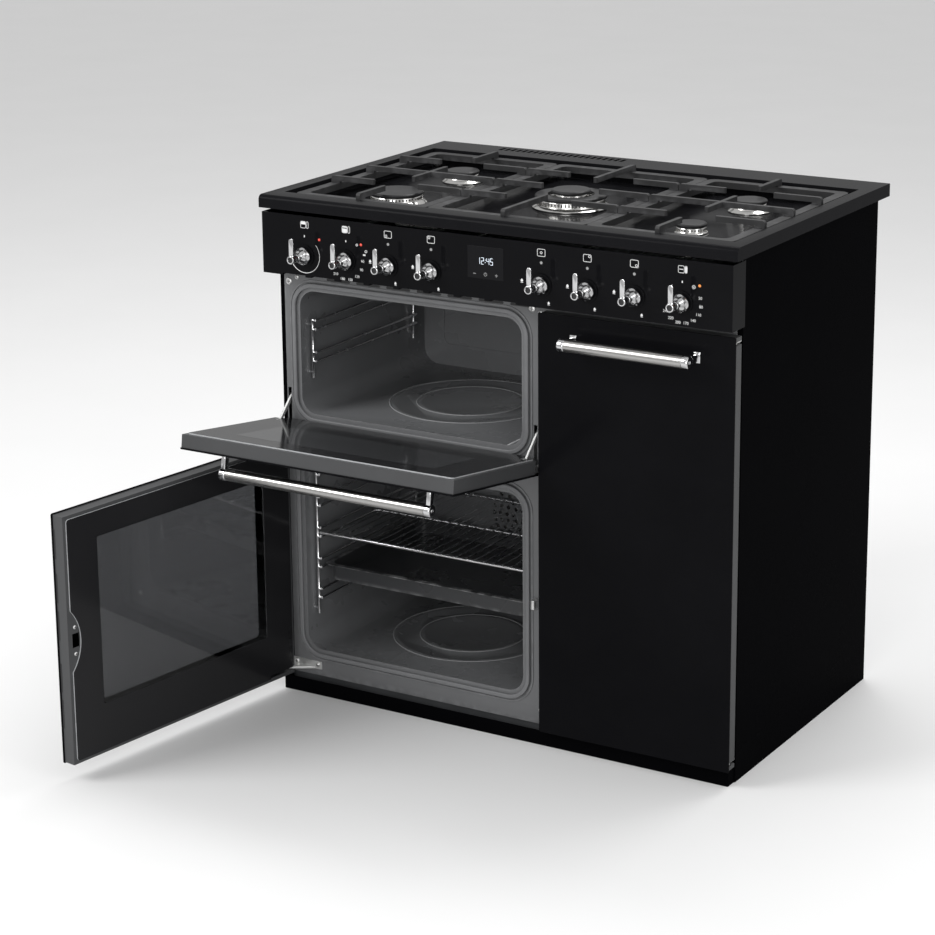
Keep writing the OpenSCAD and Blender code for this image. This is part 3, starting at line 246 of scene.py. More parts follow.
finishes = {
    "glossEnamel": {"color": (0.004, 0.004, 0.0047), "rough": (0.17, 0.23), "shift": 0.1, "fine": 180.0,
        "bump": 0.012, "fleck": ((0.011, 0.011, 0.012), 900.0, 0.25), "fixed": {"Specular IOR Level": 0.035}},
    "hobEnamel": {"color": (0.008, 0.008, 0.009), "rough": (0.14, 0.2), "shift": 0.08, "fine": 220.0,
        "bump": 0.02, "fleck": ((0.03, 0.03, 0.031), 1100.0, 0.25), "fixed": {"Specular IOR Level": 0.025}},
    "sideEnamel": {"color": (0.0018, 0.0018, 0.0022), "rough": (0.24, 0.3), "shift": 0.1, "fine": 420.0,
        "bump": 0.05, "fixed": {"Specular IOR Level": 0.002}},
    "panelEnamel": {"color": (0.005, 0.005, 0.0057), "rough": (0.07, 0.11), "shift": 0.1, "fine": 200.0,
        "bump": 0.015, "fixed": {"Specular IOR Level": 0.06}},
    "cavityEnamel": {"color": (0.15, 0.153, 0.158), "rough": (0.24, 0.34), "cloud": 5.0, "shift": 0.05,
        "fine": 90.0, "bump": 0.04, "relief": 0.0005, "fleck": ((0.26, 0.265, 0.275), 700.0, 0.3)},
    # a paler copy of the cavity enamel: painted highlights along the crests of the floor rings
    "beadEnamel": {"color": (0.3, 0.304, 0.31), "rough": (0.22, 0.3), "cloud": 12.0, "shift": 0.06,
        "fine": 90.0, "bump": 0.03, "relief": 0.0005},
    # the frame's edges are mixed paler: painted highlights
    "frameEnamel": {"color": (0.13, 0.132, 0.136), "rough": (0.3, 0.38), "shift": 0.04, "fine": 160.0,
        "bump": 0.03, "wornAndHighlight": ((0.34, 0.345, 0.35), 0.5)},
    # the tray's edges are mixed much paler: a painted highlight along its rim
    "trayEnamel": {"color": (0.035, 0.036, 0.038), "rough": (0.24, 0.34), "cloud": 5.0, "shift": 0.05,
        "fine": 90.0, "bump": 0.03, "wornAndHighlight": ((0.6, 0.605, 0.61), 0.9)},
    "linerEnamel": {"color": (0.05, 0.051, 0.053), "rough": (0.36, 0.45), "shift": 0.05, "fine": 200.0,
        "bump": 0.03},
    "castIron": {"color": (0.022, 0.022, 0.023), "rough": (0.45, 0.6), "cloud": 14.0, "shift": 0.15,
        "fine": 650.0, "bump": 0.35, "relief": 0.0003, "wornAndHighlight": ((0.075, 0.075, 0.078), 0.6)},
    "capEnamel": {"color": (0.013, 0.013, 0.014), "rough": (0.35, 0.45), "cloud": 20.0, "shift": 0.12,
        "fine": 500.0, "bump": 0.12, "relief": 0.0002},
    "steelAcross": {"color": (0.64, 0.63, 0.615), "rough": (0.18, 0.3), "grain": (5.0, 1400.0, 1400.0),
        "bump": 0.05, "relief": 0.00005, "fixed": {"Metallic": 1.0}},
    "steelAlong": {"color": (0.64, 0.63, 0.615), "rough": (0.18, 0.3), "grain": (1400.0, 5.0, 1400.0),
        "bump": 0.05, "relief": 0.00005, "fixed": {"Metallic": 1.0}},
    "chrome": {"color": (0.88, 0.88, 0.89), "rough": (0.1, 0.16), "cloud": 60.0, "shift": 0.04,
        "fixed": {"Metallic": 1.0}},
    "wireChrome": {"color": (0.86, 0.86, 0.87), "rough": (0.16, 0.28), "cloud": 40.0, "shift": 0.1,
        "fixed": {"Metallic": 1.0}},
    "satinSteel": {"color": (0.88, 0.88, 0.87), "rough": (0.38, 0.48), "cloud": 50.0, "shift": 0.08,
        "fine": 700.0, "bump": 0.08, "relief": 0.0001, "fixed": {"Metallic": 1.0}},
    "castAlloy": {"color": (0.7, 0.69, 0.67), "rough": (0.22, 0.36), "cloud": 40.0, "shift": 0.12,
        "fine": 900.0, "bump": 0.1, "relief": 0.0001, "fixed": {"Metallic": 1.0}},
    "brightAlloy": {"color": (0.84, 0.83, 0.81), "rough": (0.14, 0.24), "cloud": 40.0, "shift": 0.06,
        "fine": 900.0, "bump": 0.05, "relief": 0.0001, "fixed": {"Metallic": 1.0}},
    "machinedBrass": {"color": (0.62, 0.47, 0.2), "rough": (0.2, 0.32), "grain": (1200.0, 20.0, 1200.0),
        "fixed": {"Metallic": 1.0}},
    "galvanisedSheet": {"color": (0.5, 0.51, 0.52), "rough": (0.3, 0.5), "cloud": 30.0, "shift": 0.22,
        "fine": 60.0, "bump": 0.03, "fixed": {"Metallic": 1.0}},
    "darkSheet": {"color": (0.05, 0.052, 0.055), "rough": (0.4, 0.55), "cloud": 10.0, "shift": 0.15,
        "bump": 0.04},
    "sealRubber": {"color": (0.15, 0.152, 0.157), "rough": (0.5, 0.62), "cloud": 30.0, "fine": 700.0,
        "bump": 0.15},
    # black moulded plastic; also used for the dark plates and bars that are painted shade in screw recesses,
    # frame vents and door slots
    "moulded": {"color": (0.02, 0.02, 0.021), "rough": (0.4, 0.5), "cloud": 20.0, "fine": 800.0, "bump": 0.1},
    "blackGlass": {"color": (0.013, 0.013, 0.014), "rough": (0.12, 0.16), "shift": 0.08, "cloud": 3.0,
        "fixed": {"Specular IOR Level": 0.28}},
    "clockGlass": {"color": (0.008, 0.008, 0.009), "rough": (0.04, 0.07), "shift": 0.08, "cloud": 3.0,
        "fixed": {"Specular IOR Level": 0.1}},
    "glassEdge": {"color": (0.4, 0.41, 0.42), "rough": (0.25, 0.35), "cloud": 60.0, "shift": 0.1},
    "paneTint": {"color": (0.034, 0.035, 0.037), "rough": (0.08, 0.12), "shift": 0.08, "cloud": 3.0},
    "doorWindow": {"color": (0.3, 0.304, 0.312), "rough": (0.02, 0.04), "shift": 0.03, "cloud": 2.0,
        "fixed": {"Transmission Weight": 1.0, "IOR": 1.45}},
    "lampGlass": {"color": (0.85, 0.84, 0.8), "rough": (0.1, 0.2), "shift": 0.04, "fine": 900.0, "bump": 0.1,
        "fixed": {"Transmission Weight": 0.7, "IOR": 1.5}},
    "whitePrint": {"color": (0.72, 0.72, 0.72), "rough": (0.4, 0.5), "shift": 0.04},
    "greyPrint": {"color": (0.3, 0.3, 0.3), "rough": (0.4, 0.5), "shift": 0.04},
    "redLens": {"color": (0.62, 0.07, 0.05), "rough": (0.12, 0.2), "shift": 0.1,
        "fixed": {"Emission Color": (1.0, 0.12, 0.08, 1), "Emission Strength": 0.25}},
    "orangeLens": {"color": (0.75, 0.26, 0.06), "rough": (0.12, 0.2), "shift": 0.1,
        "fixed": {"Emission Color": (1.0, 0.35, 0.1, 1), "Emission Strength": 0.25}},
    "litDigits": {"color": (0.7, 0.75, 0.8), "rough": (0.3, 0.4), "shift": 0.02,
        "fixed": {"Emission Color": (0.75, 0.86, 1.0, 1), "Emission Strength": 0.9}},
}
looks = {name: makeMaterial(name, look) for name, look in finishes.items()}
print("materials made:", len(looks))


# Making and placing pieces

def finishPiece(name, bm, body, slotName, *materialNames, angle=35, bevel=0.0, segments=2):
    mesh = bpy.data.meshes.new(name)
    bm.to_mesh(mesh)
    bm.free()
    for m in materialNames:
        mesh.materials.append(looks[m])
    mesh.shade_smooth()
    mesh.set_sharp_from_angle(angle=math.radians(angle))
    piece = bpy.data.objects.new(name, mesh)
    scene.collection.objects.link(piece)
    if bevel:
        soft = piece.modifiers.new("softEdges", "BEVEL")
        soft.width = bevel * mm
        soft.segments = segments
        soft.limit_method = "ANGLE"
        soft.angle_limit = math.radians(38)
        soft.harden_normals = True
    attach(piece, body)
    return piece


slotOf = {part["node"]: part["material_slot"] for part in frame["record"]["subparts"]}


def softened(node, materialName, bevel, segments):  # a copy of a CAD piece with merged, softened edges
    bm = bmesh.new()
    bm.from_mesh(frame["nodes"][node].data)
    bmesh.ops.remove_doubles(bm, verts=bm.verts, dist=0.01 * mm)
    bmesh.ops.dissolve_limit(bm, angle_limit=math.radians(0.5), verts=bm.verts, edges=bm.edges,
        delimit={"NORMAL"})
    piece = finishPiece("fine_" + node, bm, frame["nodes"][node]["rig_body"], slotOf[node], materialName,
        bevel=bevel, segments=segments)
    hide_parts(node)


def dress(node, materialName):  # a CAD piece that keeps its mesh
    thing = frame["nodes"][node]
    thing.data.materials.clear()
    thing.data.materials.append(looks[materialName])


def turned(profile, steps):  # a closed turned shape; profile is (radius, height) in mm, turned round Z
    bm = bmesh.new()
    points = [bm.verts.new((r * mm, 0, h * mm)) for r, h in profile]
    edges = [bm.edges.new(pair) for pair in zip(points, points[1:])]
    bmesh.ops.spin(bm, geom=points + edges, cent=(0, 0, 0), axis=(0, 0, 1), dvec=(0, 0, 0), angle=math.tau,
        steps=steps, use_merge=True, use_duplicate=False)
    bmesh.ops.remove_doubles(bm, verts=bm.verts, dist=0.001 * mm)
    bmesh.ops.recalc_face_normals(bm, faces=bm.faces)
    return bm


def block(low, high, bevel=0.0, segments=2):  # a box in mm, its edges all rounded when bevel is given
    bm = bmesh.new()
    bmesh.ops.create_cube(bm, size=1.0)
    size = [(b - a) * mm for a, b in zip(low, high)]
    middle = [(a + b) / 2 * mm for a, b in zip(low, high)]
    bmesh.ops.scale(bm, vec=size, verts=bm.verts)
    bmesh.ops.translate(bm, vec=middle, verts=bm.verts)
    if bevel:
        bmesh.ops.bevel(bm, geom=bm.edges[:], offset=bevel * mm, segments=segments, affect="EDGES",
            profile=0.5, material=-1, clamp_overlap=True)
    return bm


def joinInto(target, source, matrix=None, material=0):  # adds one bmesh to another
    if matrix is not None:
        bmesh.ops.transform(source, matrix=matrix, verts=source.verts)
    for face in source.faces:
        face.material_index = face.material_index + material
    carrier = bpy.data.meshes.new("carrier")
    source.to_mesh(carrier)
    source.free()
    target.from_mesh(carrier)
    bpy.data.meshes.remove(carrier)


def roundedFace(bm, low, high, r, y):  # adds a rectangle with round corners, in the plane y
    made = bmesh.ops.create_grid(bm, x_segments=1, y_segments=1, size=0.5)
    for v in made["verts"]:
        x = low[0] if v.co.x < 0 else high[0]
        z = low[1] if v.co.y < 0 else high[1]
        v.co = Vector((x * mm, y * mm, z * mm))
    bmesh.ops.bevel(bm, geom=made["verts"], offset=r * mm, segments=8, affect="VERTICES", profile=0.5,
        material=-1, clamp_overlap=True)
    bm.faces.ensure_lookup_table()
    return bm.faces[-1]


def plate(low, high, r, y0, y1, hole=None):  # a flat plate, y0 back to y1; hole is (low, high, r)
    bm = bmesh.new()
    outer = roundedFace(bm, low, high, r, y0)
    if hole:
        rim = outer.edges[:]
        bmesh.ops.delete(bm, geom=[outer], context="FACES_ONLY")
        inner = roundedFace(bm, *hole, y0)
        inside = inner.edges[:]
        bmesh.ops.delete(bm, geom=[inner], context="FACES_ONLY")
        bmesh.ops.bridge_loops(bm, edges=rim + inside)
    bmesh.ops.recalc_face_normals(bm, faces=bm.faces)
    made = bmesh.ops.extrude_face_region(bm, geom=bm.faces[:], use_keep_orig=True)
    back = [g for g in made["geom"] if isinstance(g, bmesh.types.BMVert)]
    bmesh.ops.translate(bm, vec=(0, (y1 - y0) * mm, 0), verts=back)
    bmesh.ops.recalc_face_normals(bm, faces=bm.faces)
    return bm


def spread(outline, by):  # a rounded rectangle (low, high, r) grown on all sides
    (x0, z0), (x1, z1), r = outline
    return (x0 - by, z0 - by), (x1 + by, z1 + by), r + by


def cut(bm, tool):  # the first bmesh less the second
    holders = []
    for source in (bm, tool):
        mesh = bpy.data.meshes.new("carrier")
        source.to_mesh(mesh)
        source.free()
        holders.append(bpy.data.objects.new("carrier", mesh))
        scene.collection.objects.link(holders[-1])
    step = holders[0].modifiers.new("cut", "BOOLEAN")
    step.object, step.operation, step.solver = holders[1], "DIFFERENCE", "EXACT"
    whole = holders[0].evaluated_get(bpy.context.evaluated_depsgraph_get())
    result = bmesh.new()
    result.from_mesh(whole.to_mesh())
    whole.to_mesh_clear()
    for holder in holders:
        mesh = holder.data
        bpy.data.objects.remove(holder)
        bpy.data.meshes.remove(mesh)
    return result


frontward = Matrix.Rotation(math.radians(90), 4, "X")  # turns +Z to the front, -Y, and +Y up


def at(x, y, z):
    return Matrix.Translation((x * mm, y * mm, z * mm))


def swing(x, y, z, degrees, axis):  # how a piece drawn shut is turned to its stored place
    return at(x, y, z) @ Matrix.Rotation(math.radians(degrees), 4, axis) @ at(-x, -y, -z)


def placed(bm, matrix):
    bmesh.ops.transform(bm, matrix=matrix, verts=bm.verts)
    return bm


upperOpen = swing(0, -291, 486.5, 82, "X")
lowerOpen = swing(-435, -291, 0, -98, "Z")
shut = Matrix.Identity(4)


# The cabinet's sheet metal, ovens and hob

plainNodes = {
    "base_frame": "darkSheet", "levelling_feet": "moulded", "gas_manifold": "galvanisedSheet",
    "gas_taps": "castAlloy", "gas_tubes": "castAlloy", "oven_controls": "moulded", "burner_cups": "castAlloy",
    "fan_motors": "galvanisedSheet",
}
for node, materialName in plainNodes.items():
    dress(node, materialName)
for node in frame["nodes"]:
    if node.startswith("plunger_"):
        dress(node, "machinedBrass")

softNodes = {  # node: (finish, width of the softened edge in mm, segments)
    "plinth": ("sideEnamel", 0.5, 2), "side_panel_left": ("sideEnamel", 0.6, 2),
    "side_panel_right": ("sideEnamel", 0.6, 2), "back_panel": ("galvanisedSheet", 0.3, 1),
    "front_frame": ("frameEnamel", 0.5, 2), "hob_top": ("hobEnamel", 0.9, 3),
    "control_panel": ("panelEnamel", 0.6, 2), "display_glass": ("clockGlass", 0.4, 2),
    "door_gaskets": ("sealRubber", 2.2, 4), "upper_cavity": ("cavityEnamel", 0, 1),
    "lower_cavity": ("cavityEnamel", 0, 1), "right_cavity": ("cavityEnamel", 0, 1),
    "shelf_racks": ("wireChrome", 0, 1), "wire_shelf": ("wireChrome", 0, 1),
    "fan_covers": ("cavityEnamel", 0.4, 2), "lower_fan": ("castAlloy", 0, 1),
    "right_fan": ("castAlloy", 0, 1), "heating_elements": ("darkSheet", 0, 1),
    "oven_lamps": ("lampGlass", 1.0, 3), "baking_tray": ("trayEnamel", 0.6, 2),
    "burner_caps": ("capEnamel", 0.5, 2), "pan_support_left": ("castIron", 1.3, 3),
    "pan_support_centre": ("castIron", 1.3, 3), "pan_support_right": ("castIron", 1.3, 3),
    "upper_door_panel": ("glossEnamel", 0.9, 3), "lower_door_panel": ("glossEnamel", 0.9, 3),
    "right_door_panel": ("glossEnamel", 0.9, 3), "upper_door_liner": ("linerEnamel", 0.5, 2),
    "lower_door_liner": ("linerEnamel", 0.5, 2), "right_door_liner": ("linerEnamel", 0.5, 2),
    "upper_door_stays": ("satinSteel", 0.4, 2), "hinge_mounts": ("satinSteel", 0.6, 2),
    "latch_keepers": ("satinSteel", 0.5, 2),
}
for node, (materialName, width, segments) in softNodes.items():
    softened(node, materialName, width, segments)
print("CAD pieces finished:", len(softNodes))


# Burner crowns, with their gas ports

crown = {
    "bowl": 872, "ports": {47: 48, 30: 32, 26: 28}, "portDepth": 2.2,
    "burners": [(-283, -135, 47, 53), (-283, 85, 30, 37), (283, 85, 30, 37), (283, -135, 26, 28)],
    "wok": (0, -25, 62, 67),
}


def cutPorts(bm, r, low, high, depth):  # sinks every second face of the ring at radius r
    bm.faces.ensure_lookup_table()
    ring = []
    for face in bm.faces:
        c = face.calc_center_median()
        if abs(math.hypot(c.x, c.y) / mm - r) < 1.2 and low < c.z / mm < high and abs(face.normal.z) < 0.5:
            ring.append((math.atan2(c.y, c.x), face))
    ring.sort(key=lambda item: item[0])
    chosen = [face for i, (_, face) in enumerate(ring) if i % 2 == 0]
    bmesh.ops.inset_individual(bm, faces=chosen, thickness=0.35 * mm, depth=-depth * mm)


crowns = bmesh.new()
for x, y, capR, flangeR in crown["burners"]:
    one = turned([
        (capR - 14, 0), (flangeR - 0.6, 0), (flangeR, 0.5), (flangeR, 1.6), (flangeR - 0.6, 2.2),
        (capR + 1.4, 5.4), (capR - 0.2, 6.6), (capR - 1, 8.4), (capR - 1, 12.6), (capR - 1.6, 14.2),
        (capR - 2.4, 15), (capR - 14, 15), (capR - 14, 0),
    ], crown["ports"][capR] * 2)
    cutPorts(one, capR - 1, 8.5, 12.5, crown["portDepth"])
    joinInto(crowns, one, at(x, y, crown["bowl"]))
x, y, wokR, wokFlange = crown["wok"]
ring = turned([
    (14, 0), (wokFlange - 1, 0), (wokFlange, 0.8), (wokFlange, 2.4), (wokFlange - 0.8, 3), (wokR, 5.6),
    (wokR - 2.4, 6.4), (wokR - 3, 8), (wokR - 3, 14.4), (wokR - 3.8, 16.4), (wokR - 4.8, 17), (wokR - 18, 17),
    (wokR - 18.8, 15), (wokR - 20, 6.4), (31, 6.2), (29, 7.4), (28.4, 14), (28.2, 22), (27, 24.4), (25.6, 25),
    (14, 25), (14, 0),
], 120)
cutPorts(ring, wokR - 3, 9, 14, 2.4)
cutPorts(ring, 28.3, 14.5, 21.5, 2.0)
joinInto(crowns, ring, at(x, y, crown["bowl"]))
piece = finishPiece("burnerCrowns", crowns, "cabinet", "alloy", "brightAlloy", angle=30)
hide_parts("burner_crowns")
print("burners made")


# Knobs: a lobed bell on a black bezel, a stem with a ring end, and a flat lever

knob = {
    "places": {"upper_oven": -356, "lower_oven": -272, "front_left": -188, "rear_left": -104, "centre": 104,
        "rear_right": 188, "front_right": 272, "right_oven": 356},
    "height": 804, "foot": -317.5, "length": 36.5, "lobes": 4, "lobeDepth": 0.17,
    "lever": {"half": 4.3, "low": 5.5, "high": 36, "round": 4.2, "edge": 0.8},
}


def makeKnob():
    tip, lever = knob["length"], knob["lever"]
    bm = turned([
        (0, -27), (4, -27), (4, -0.5), (13, -0.5), (14.6, 0), (15, 0.8), (14.8, 2), (14.1, 3.2), (13.6, 4.6),
        (12.9, 6.4), (11.8, 8.4), (10.4, 10.2), (8.9, 12), (7.6, 13.6), (6.7, 15.2), (6.2, 16.4), (6.6, 17),
        (6.6, 18), (6.1, 18.6), (5.5, 19.4), (5.4, 22.6), (5.7, 25), (6.3, 26.4), (6.9, 27.2), (7, 28),
        (7, tip - 1), (6.7, tip - 0.3), (6.2, tip), (5, tip), (4.7, tip - 0.3), (4.6, tip - 1),
        (4.6, tip - 2), (0, tip - 2),
    ], 64)
    for v in bm.verts:  # four lobes round the bell
        h, r = v.co.z / mm, math.hypot(v.co.x, v.co.y)
        if 1 < h < 16 and r > 0.1 * mm:
            waist = math.sin(min(1, (h - 1) / 6) * math.pi / 2) * min(1, (16 - h) / 4)
            dip = (0.5 + 0.5 * math.cos(knob["lobes"] * math.atan2(v.co.y, v.co.x))) ** 1.5
            scale = 1 - knob["lobeDepth"] * waist * dip
            v.co.x *= scale
            v.co.y *= scale
    for face in bm.faces:
        c = face.calc_center_median()
        if math.hypot(c.x, c.y) < 4.62 * mm and c.z > (tip - 2.1) * mm:
            face.material_index = 1
    blade = block((-lever["half"], lever["low"], tip - 7), (lever["half"], lever["high"], tip - 3))
    ends = [e for e in blade.edges if all(v.co.y > 30 * mm for v in e.verts)]
    top = [e for e in ends if abs(e.verts[0].co.z - e.verts[1].co.z) > mm]
    bmesh.ops.bevel(blade, geom=top, offset=lever["round"] * mm, segments=8, affect="EDGES", profile=0.5,
        material=-1)
    sharp = [e for e in blade.edges if len(e.link_faces) == 2 and e.calc_face_angle() > math.radians(50)]
    bmesh.ops.bevel(blade, geom=sharp, offset=lever["edge"] * mm, segments=2, affect="EDGES", profile=0.5,
        material=-1)
    joinInto(bm, blade)
    return bm


for name, x in knob["places"].items():
    bm = placed(makeKnob(), at(x, knob["foot"], knob["height"]) @ frontward)
    piece = finishPiece("knob_" + name + "_fine", bm, "control_" + name, "chrome", "chrome", "moulded",
        angle=40)
    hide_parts("knob_" + name)
print("knobs made")


# Handles: a brushed bar, polished caps with a screw, and two posts

handle = {
    "radius": 10.5, "off": 37, "face": -301, "cap": 12, "post": (4, 6), "foot": (6, 9, 2),
    "doors": {
        "upper": (-385, 28, 717, upperOpen, "upper_door", "steelAcross"),
        "lower": (-385, 28, 421, lowerOpen, "lower_door", "steelAlong"),
        "right": (152, 385, 717, shut, "right_door", "steelAcross"),
    },
}


def makeHandle(x0, x1, z):
    y, r, cap = handle["face"] - handle["off"], handle["radius"], handle["cap"]
    (postX, postZ), (footX, footZ, footDepth) = handle["post"], handle["foot"]
    along = Matrix.Rotation(math.radians(90), 4, "Y")
    length = x1 - x0 - 2 * cap
    bm = placed(turned([(0, 0), (r, 0), (r, length), (0, length)], 40), at(x0 + cap, y, z) @ along)
    for x, side in ((x0, 1), (x1, -1)):
        inward = Matrix.Rotation(math.radians(90 * side), 4, "Y")
        end = turned([
            (0, 0.8), (2.6, 0.8), (2.6, 0.1), (3.2, 0.1), (3.4, 0.5), (r - 1.6, 0), (r - 0.4, 0.4),
            (r + 0.3, 1.2), (r + 0.5, 2.4), (r + 0.5, cap - 1.6), (r + 0.3, cap - 0.6), (r - 0.2, cap),
            (0, cap),
        ], 40)
        joinInto(end, block((-2.2, -0.45, 0.4), (2.2, 0.45, 1.2)))
        joinInto(bm, end, at(x, y, z) @ inward, 1)
        middle, face = x + side * cap / 2, handle["face"]
        post = block((middle - postX, y + 3, z - postZ), (middle + postX, face + 0.5, z + postZ), 1.4, 3)
        foot = block((middle - footX, face - footDepth, z - footZ), (middle + footX, face, z + footZ), 0.7, 2)
        joinInto(bm, post, None, 1)
        joinInto(bm, foot, None, 1)
    return bm


for name, (x0, x1, z, turn, body, materialName) in handle["doors"].items():
    bm = placed(makeHandle(x0, x1, z), turn)
    piece = finishPiece(name + "DoorHandleFine", bm, body, "steel", materialName, "chrome", angle=40)
    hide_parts(name + "_door_handle")
print("handles made")


# Door glass: black borders, a clear window in the lower door, a tinted one in the upper door

doorGlass = {
    "inner": (-275.3, -273.2), "outer": (-297.9, -294.1), "cut": (-277, -271), "tint": (-273.3, -272.9),
    "split": -285,
    "upper": {"window": ((-372, 566), (15, 700), 3), "front": ((-389, 548), (32, 720), 12),
        "turn": upperOpen},
    "lower": {"window": ((-373, 119), (16, 408), 2.5), "front": ((-389, 103), (32, 424), 12),
        "turn": lowerOpen},
}


def rearPane(door):  # the rear pane of a door as the CAD piece has it, drawn shut, with pale ground edges
    bm = bmesh.new()
    bm.from_mesh(frame["nodes"][door + "_door_glass"].data)
    placed(bm, doorGlass[door]["turn"].inverted())
    bmesh.ops.remove_doubles(bm, verts=bm.verts, dist=0.01 * mm)
    bmesh.ops.delete(bm, geom=[v for v in bm.verts if v.co.y < doorGlass["split"] * mm], context="VERTS")
    for face in bm.faces:
        face.material_index = 1 if abs(face.normal.y) < 0.5 else 0
    bmesh.ops.dissolve_limit(bm, angle_limit=math.radians(0.5), verts=bm.verts, edges=bm.edges,
        delimit={"NORMAL", "MATERIAL"})
    return bm


lower, upper = doorGlass["lower"], doorGlass["upper"]
border = cut(rearPane("lower"), plate(*lower["window"], *doorGlass["cut"]))
piece = finishPiece("lowerDoorGlassBorder", placed(border, lower["turn"]), "lower_door", "black_glass",
    "blackGlass", "glassEdge", bevel=0.4)
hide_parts("lower_door_glass")
panes = plate(*spread(lower["window"], -0.2), *doorGlass["inner"])
joinInto(panes, plate(*lower["front"], *doorGlass["outer"]))
finishPiece("lowerDoorWindow", placed(panes, lower["turn"]), "lower_door", "black_glass", "doorWindow",
    bevel=0.3)
pane = rearPane("upper")
joinInto(pane, plate(*upper["front"], *doorGlass["outer"]))
piece = finishPiece("upperDoorGlassFine", placed(pane, upper["turn"]), "upper_door", "black_glass",
    "blackGlass", "glassEdge", bevel=0.4)
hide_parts("upper_door_glass")
tint = plate(*upper["window"], *doorGlass["tint"])
finishPiece("upperDoorWindowTint", placed(tint, upper["turn"]), "upper_door", "black_glass", "paneTint")
print("door glass made")


# Printed marks, numbers, lamps and the clock on the control panel

panel = {
    "face": -310, "raise": 0.18, "iconHeight": 857, "iconLine": 0.8, "lampHeight": 834, "dotHeight": 840.5,
    "numberRadius": 33, "numberSize": 6.4,
}


def flat(bm, x0, z0, x1, z1, y=None):  # a thin printed bar
    y = panel["face"] if y is None else y
    joinInto(bm, block((x0, y - panel["raise"], z0), (x1, y + 0.1, z1)))


def dot(bm, x, z, r, y=None, inner=0.0):  # a thin disc, or a ring
    y = panel["face"] if y is None else y
    high = panel["raise"] + 0.1
    profile = [(inner, 0), (r, 0), (r, high), (inner, high)]
    one = turned(profile + [(inner, 0)] if inner else profile, 24)
    joinInto(bm, one, at(x, y + 0.1, z) @ frontward)


def outline(bm, x, z, w, h):  # a frame with round corners
    edge = ((x - w / 2, z - h / 2), (x + w / 2, z + h / 2), 2.2)
    y = panel["face"]
    joinInto(bm, plate(*edge, y - panel["raise"], y + 0.1, hole=spread(edge, -panel["iconLine"])))


def flame(bm, x, z, size):  # a drop with a line below it
    drop = ((0, 0), (0.38, 0.18), (0.45, 0.42), (0.26, 0.72), (0, 1))
    one = turned([(size * r, size * h) for r, h in drop], 12)
    bmesh.ops.scale(one, vec=(1, 0.03, 1), verts=one.verts)
    joinInto(bm, one, at(x, panel["face"] - panel["raise"] / 2, z))
    flat(bm, x - size * 0.42, z - size * 0.22, x + size * 0.42, z - size * 0.06)


def lettering(bm, words, x, z, size):  # numbers on a dial, centred on x and z
    curve = bpy.data.curves.new("number", "FONT")
    curve.body, curve.size, curve.align_x, curve.align_y = words, size * mm, "CENTER", "CENTER"
    curve.extrude = panel["raise"] / 2 * mm
    holder = bpy.data.objects.new("number", curve)
    scene.collection.objects.link(holder)
    bpy.context.view_layer.update()
    mesh = bpy.data.meshes.new_from_object(holder)
    one = bmesh.new()
    one.from_mesh(mesh)
    bpy.data.objects.remove(holder)
    bpy.data.curves.remove(curve)
    bpy.data.meshes.remove(mesh)
    joinInto(bm, one, at(x, panel["face"] - panel["raise"] / 2, z) @ frontward)


marks = bmesh.new()
ovenIcons = {-356: "top", -272: "low", 356: "side"}
burnerIcons = {-188: (-3.6, -2.8), -104: (-3.6, 2.8), 104: (0, 0), 188: (3.6, 2.8), 272: (3.6, -2.8)}
for x, kind in ovenIcons.items():
    outline(marks, x - 2, panel["iconHeight"], 11, 12)
    outline(marks, x + 6.4, panel["iconHeight"], 4.6, 12)
    z = panel["iconHeight"]
    if kind == "top":
        flat(marks, x - 7, z + 0.5, x + 3, z + 5.4)
    elif kind == "low":
        flat(marks, x - 7, z - 5.4, x + 3, z + 1.6)
        flat(marks, x - 7, z + 3.2, x + 3, z + 5.4)
    else:
        flat(marks, x + 4.6, z - 5.6, x + 8.2, z + 5.6)
        flat(marks, x - 5.4, z - 0.5, x + 1.4, z + 0.6)
    flat(marks, x - 0.9, z - 21.5, x + 0.9, z - 18)
for x, (dx, dz) in burnerIcons.items():
    outline(marks, x, panel["iconHeight"], 15, 12.5)
    dot(marks, x + dx, panel["iconHeight"] + dz, 2.2, inner=1.4)
    flame(marks, x - 36, knob["height"] + 1.5, 5.6)
    flame(marks, x + 13.5, knob["height"] - 30.5, 5)
dials = {  # knob: (angle of the first number, step between numbers, temperatures)
    -272: (4, 27, (60, 90, 120, 150, 180, 210, 240)),
    356: (18, 24, (50, 80, 110, 140, 170, 200, 220, 240)),
}
for x, (start, step, temperatures) in dials.items():
    for i, degrees in enumerate(temperatures):
        a = math.radians(start - i * step)
        r, size = panel["numberRadius"], panel["numberSize"]
        lettering(marks, str(degrees), x + r * math.cos(a), knob["height"] + r * math.sin(a), size)
# The signs beside the lower and the right oven's knobs
dot(marks, -250, 833, 2.2, inner=1.3)
flat(marks, -238, 816, -233, 818.6)
dot(marks, -232, 823.5, 2.5, inner=1.6)
dot(marks, 376, 831, 3.0, inner=2.3)
dot(marks, 376, 831, 1.0)
# The upper oven's scale: a line that thickens along its turn
powerScale = {
    "knob": -356, "radius": 30, "steps": 34, "start": 38.2, "step": 7.6, "half": 1.9, "thin": 0.5,
    "grow": 0.035,
}
for i in range(powerScale["steps"]):
    a = math.radians(powerScale["start"] - i * powerScale["step"])
    r, half, line = powerScale["radius"], powerScale["half"], powerScale["thin"] + i * powerScale["grow"]
    one = block((-half, -panel["raise"], -line / 2), (half, 0.1, line / 2))
    middle = at(powerScale["knob"] + r * math.cos(a), panel["face"], knob["height"] + r * math.sin(a))
    joinInto(marks, one, middle @ Matrix.Rotation(math.pi / 2 - a, 4, "Y"))
finishPiece("panelMarks", marks, "cabinet", "control_plastic", "whitePrint")

greyMarks = bmesh.new()
for x in burnerIcons:
    dot(greyMarks, x, panel["dotHeight"], 2.4)
finishPiece("panelDots", greyMarks, "cabinet", "control_plastic", "greyPrint")

